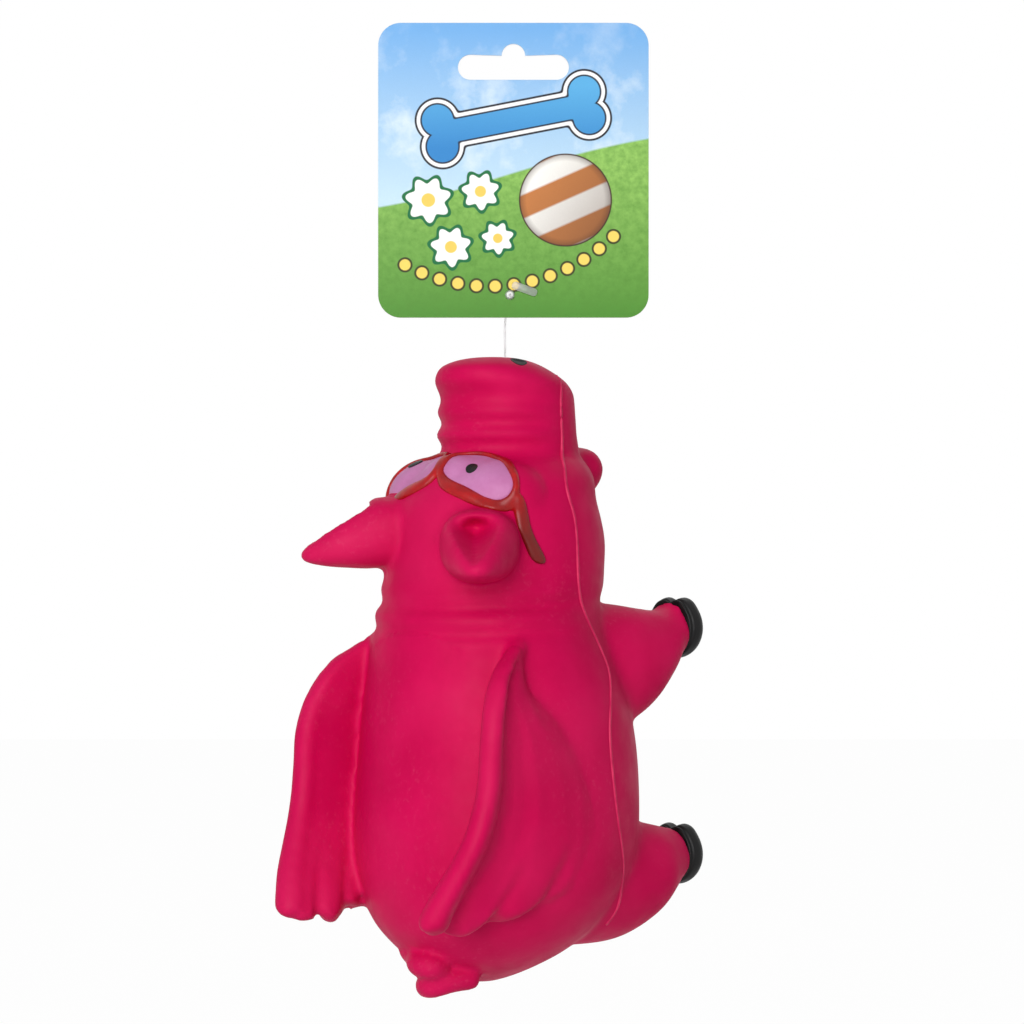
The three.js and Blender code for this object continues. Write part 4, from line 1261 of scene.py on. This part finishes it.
def bridge():
    facing = Vector((0, -cos(eye_tilt), sin(eye_tilt)))

    def place(row, turn):
        side, height, half = row
        start = Vector((side, bridge_back, height)) + half * cos(turn) * bridge_slope
        point, normal = on_skin(start + before_bridge * facing, -facing)
        return point + bead(turn, arm_roundness, bridge_share * frame_height) * normal

    return drawn(smooth_rows(bridge_rows, 24), 24, place)


def on_both_sides(form):
    bmesh.ops.mirror(form, geom=form.verts[:] + form.edges[:] + form.faces[:], axis="X", merge_dist=-1)
    bmesh.ops.recalc_face_normals(form, faces=form.faces)
    return form


def frame_mesh():
    bm = bmesh.new()
    bm.from_mesh(fused([on_both_sides(frame_rim()), on_both_sides(temple()), bridge()], frame_grain))
    smoothed(bm, bm.verts[:], 5)
    return to_mesh("spectacles", bm, pig_frame)


def red_paint():
    paint, place = new_paint("spectacle_red")
    red = place.noise(240, 4, 0.6).ranged(0.35, 0.7).mixed(ink(156, 4, 16), ink(188, 10, 16))
    patchy = place.noise(110, 3).ranged(0.42, 0.62, 0, 0.5)
    brown = place.axis("Z").ranged(-0.128, -0.142).math("MAXIMUM", patchy)
    return coated(paint, {
        "Base Color": brown.mixed(red, ink(112, 16, 12)), "Roughness": 0.34, "Specular IOR Level": 0.3,
        "Normal": place.noise(520, 3).bump(0.00012, 0.3),
    })


spectacles = finished("spectacles", frame_mesh(), "toy", "red_paint", red_paint())
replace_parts(spectacles, "spectacle_frame")


# Lenses and pupils
# Lilac paint fills each eye inside the frame, slightly crowned, with a small black pupil dabbed on top.
lens_rise = 0.0003
lens_crown = 0.0005
lens_lap = 0.0003
lens_foot = 0.0006
pupil_rise = lens_rise + lens_crown + 0.00012
pupil_crown = 0.00015
pupil_foot = -0.0004
pupil_places = {1: Vector((-0.003, 0.0022)), -1: Vector((0.0034, 0.0032))}
pupil_reach = Vector((0.0018, 0.002))


def eye_spot(outline, sides, rise, crown, foot):
    """A crowned spot of paint on the brow, inside an outline of the eye's plane."""

    def place(row, turn):
        share, top = row
        return on_brow(outline(share, turn), (rise + crown * (1 - share * share)) if top else -foot)

    return spot(place, sides, 12)


def lens(side):
    edge = lens_edge()
    middle = sum((point for point, _, _ in edge), Vector((0, 0))) / len(edge)

    def outline(share, turn):
        point, out, _ = edge[round(turn / (2 * pi) * len(edge)) % len(edge)]
        return middle + share * (point + lens_lap * out - middle)

    return eye_spot(outline, len(edge), lens_rise, lens_crown, lens_foot)


def pupil(side):
    def outline(share, turn):
        return pupil_places[side] + share * Vector((pupil_reach.x * cos(turn), pupil_reach.y * sin(turn)))

    return eye_spot(outline, 48, pupil_rise, pupil_crown, pupil_foot)


def lilac_paint():
    paint, place = new_paint("lilac_paint")
    lilac = place.noise(130, 4, 0.6).ranged(0.3, 0.7).mixed(ink(190, 112, 164), ink(202, 130, 182))
    fleck = place.noise(900, 3, 0.7).ranged(0.6, 0.78, 0, 0.2)
    return coated(paint, {
        "Base Color": fleck.mixed(lilac, ink(228, 168, 196)), "Roughness": 0.5, "Specular IOR Level": 0.3,
        "Normal": place.noise(300, 3).bump(0.0001, 0.3),
    })


lilac = lilac_paint()
for side, side_name in side_names.items():
    for make, paint, slot, node in (
        (lens, lilac, "lilac_paint", f"{side_name}_lens"),
        (pupil, black, "black_paint", f"{side_name}_pupil"),
    ):
        coat = to_mesh(node, make(side), pig_frame @ Matrix.Diagonal((side, 1, 1, 1)))
        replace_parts(finished(f"{node}_paint", coat, "toy", slot, paint), node)


# Squeaker
# A reed whistle of white plastic, pressed into the belly: a flanged housing with a sound hole, the block
# and clip that hold its reed, and a drilled guard behind them that keeps its fibre filter in.
flange_thickness = 0.0014
flange_round = 0.0007
tube_length = 0.015
tube_wall = 0.0014
barb_height = 0.0012
barb_length = 0.0016
barb_place = 0.0027
sound_hole_radius = 0.002
front_wall = 0.001
grip_rings = (0.0052, 0.0048, 0.0042, 0.0038)
grip_depth = 0.0004
moulded_round = 0.00022


def rounded(profile, radius, steps=4):
    """A closed outline with its corners rounded."""
    line = []
    for index, corner in enumerate(profile):
        corner = Vector(corner)
        ways = [Vector(profile[index - 1]) - corner, Vector(profile[(index + 1) % len(profile)]) - corner]
        cut = min(radius, 0.45 * ways[0].length, 0.45 * ways[1].length)
        start, end = (corner + cut * way.normalized() for way in ways)
        for step in range(steps + 1):
            t = step / steps
            line.append((1 - t) ** 2 * start + 2 * t * (1 - t) * corner + t * t * end)
    return [tuple(point) for point in line]


def housing_mesh():
    top = seat_gap + flange_thickness
    bore = tube_radius - tube_wall
    rings = [(radius, top - depth) for radius, depth in zip(grip_rings, (0, grip_depth, grip_depth, 0))]
    profile = [
        (sound_hole_radius, top), (sound_hole_radius, -front_wall), (bore, -front_wall), (bore, -tube_length),
        (tube_radius, -tube_length), (tube_radius, -barb_place - barb_length),
        (tube_radius + barb_height, -barb_place), (tube_radius, -barb_place), (tube_radius, seat_gap),
        (flange_radius, seat_gap), (flange_radius, top - flange_round), (flange_radius - flange_round, top),
        *rings,
    ]
    line = rounded(profile, moulded_round)
    mesh = to_mesh("squeaker_housing_moulding", spun(line + line[:1]), pig_frame @ seat_place)
    mesh.set_sharp_from_angle(angle=radians(40))
    return mesh


def whistle_plastic():
    paint, place = new_paint("whistle_plastic")
    mottle = place.noise(260, 3).ranged(0.3, 0.7)
    return coated(paint, {
        "Base Color": mottle.mixed(ink(226, 225, 218), ink(238, 237, 231)),
        "Roughness": mottle.ranged(0, 1, 0.26, 0.36),
        "Subsurface Weight": 0.08, "Subsurface Radius": (0.002, 0.002, 0.0018),
        "Normal": place.noise(1800, 2).bump(0.00003, 0.25),
    })


def reed_film():
    paint, place = new_paint("reed_film")
    streaks = place.node("ShaderNodeMapping", "Vector", {"Vector": place, "Scale": (1, 1, 0.1)})
    marks = streaks.noise(2400, 2).ranged(0.3, 0.7)
    return coated(paint, {
        "Base Color": marks.mixed(ink(214, 216, 214), ink(230, 231, 228)), "Roughness": 0.18,
        "Transmission Weight": 0.35, "Normal": marks.bump(0.00001, 0.2),
    })


white_plastic = whistle_plastic()
housing = finished("squeaker_housing_moulding", housing_mesh(), "toy", "white_plastic", white_plastic)
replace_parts(housing, "squeaker_housing")
for node in ("reed_block", "reed_clip", "fibre_guard"):
    bpy.data.objects[node].material_slots[0].material = white_plastic
bpy.data.objects["squeaker_reed"].material_slots[0].material = reed_film()
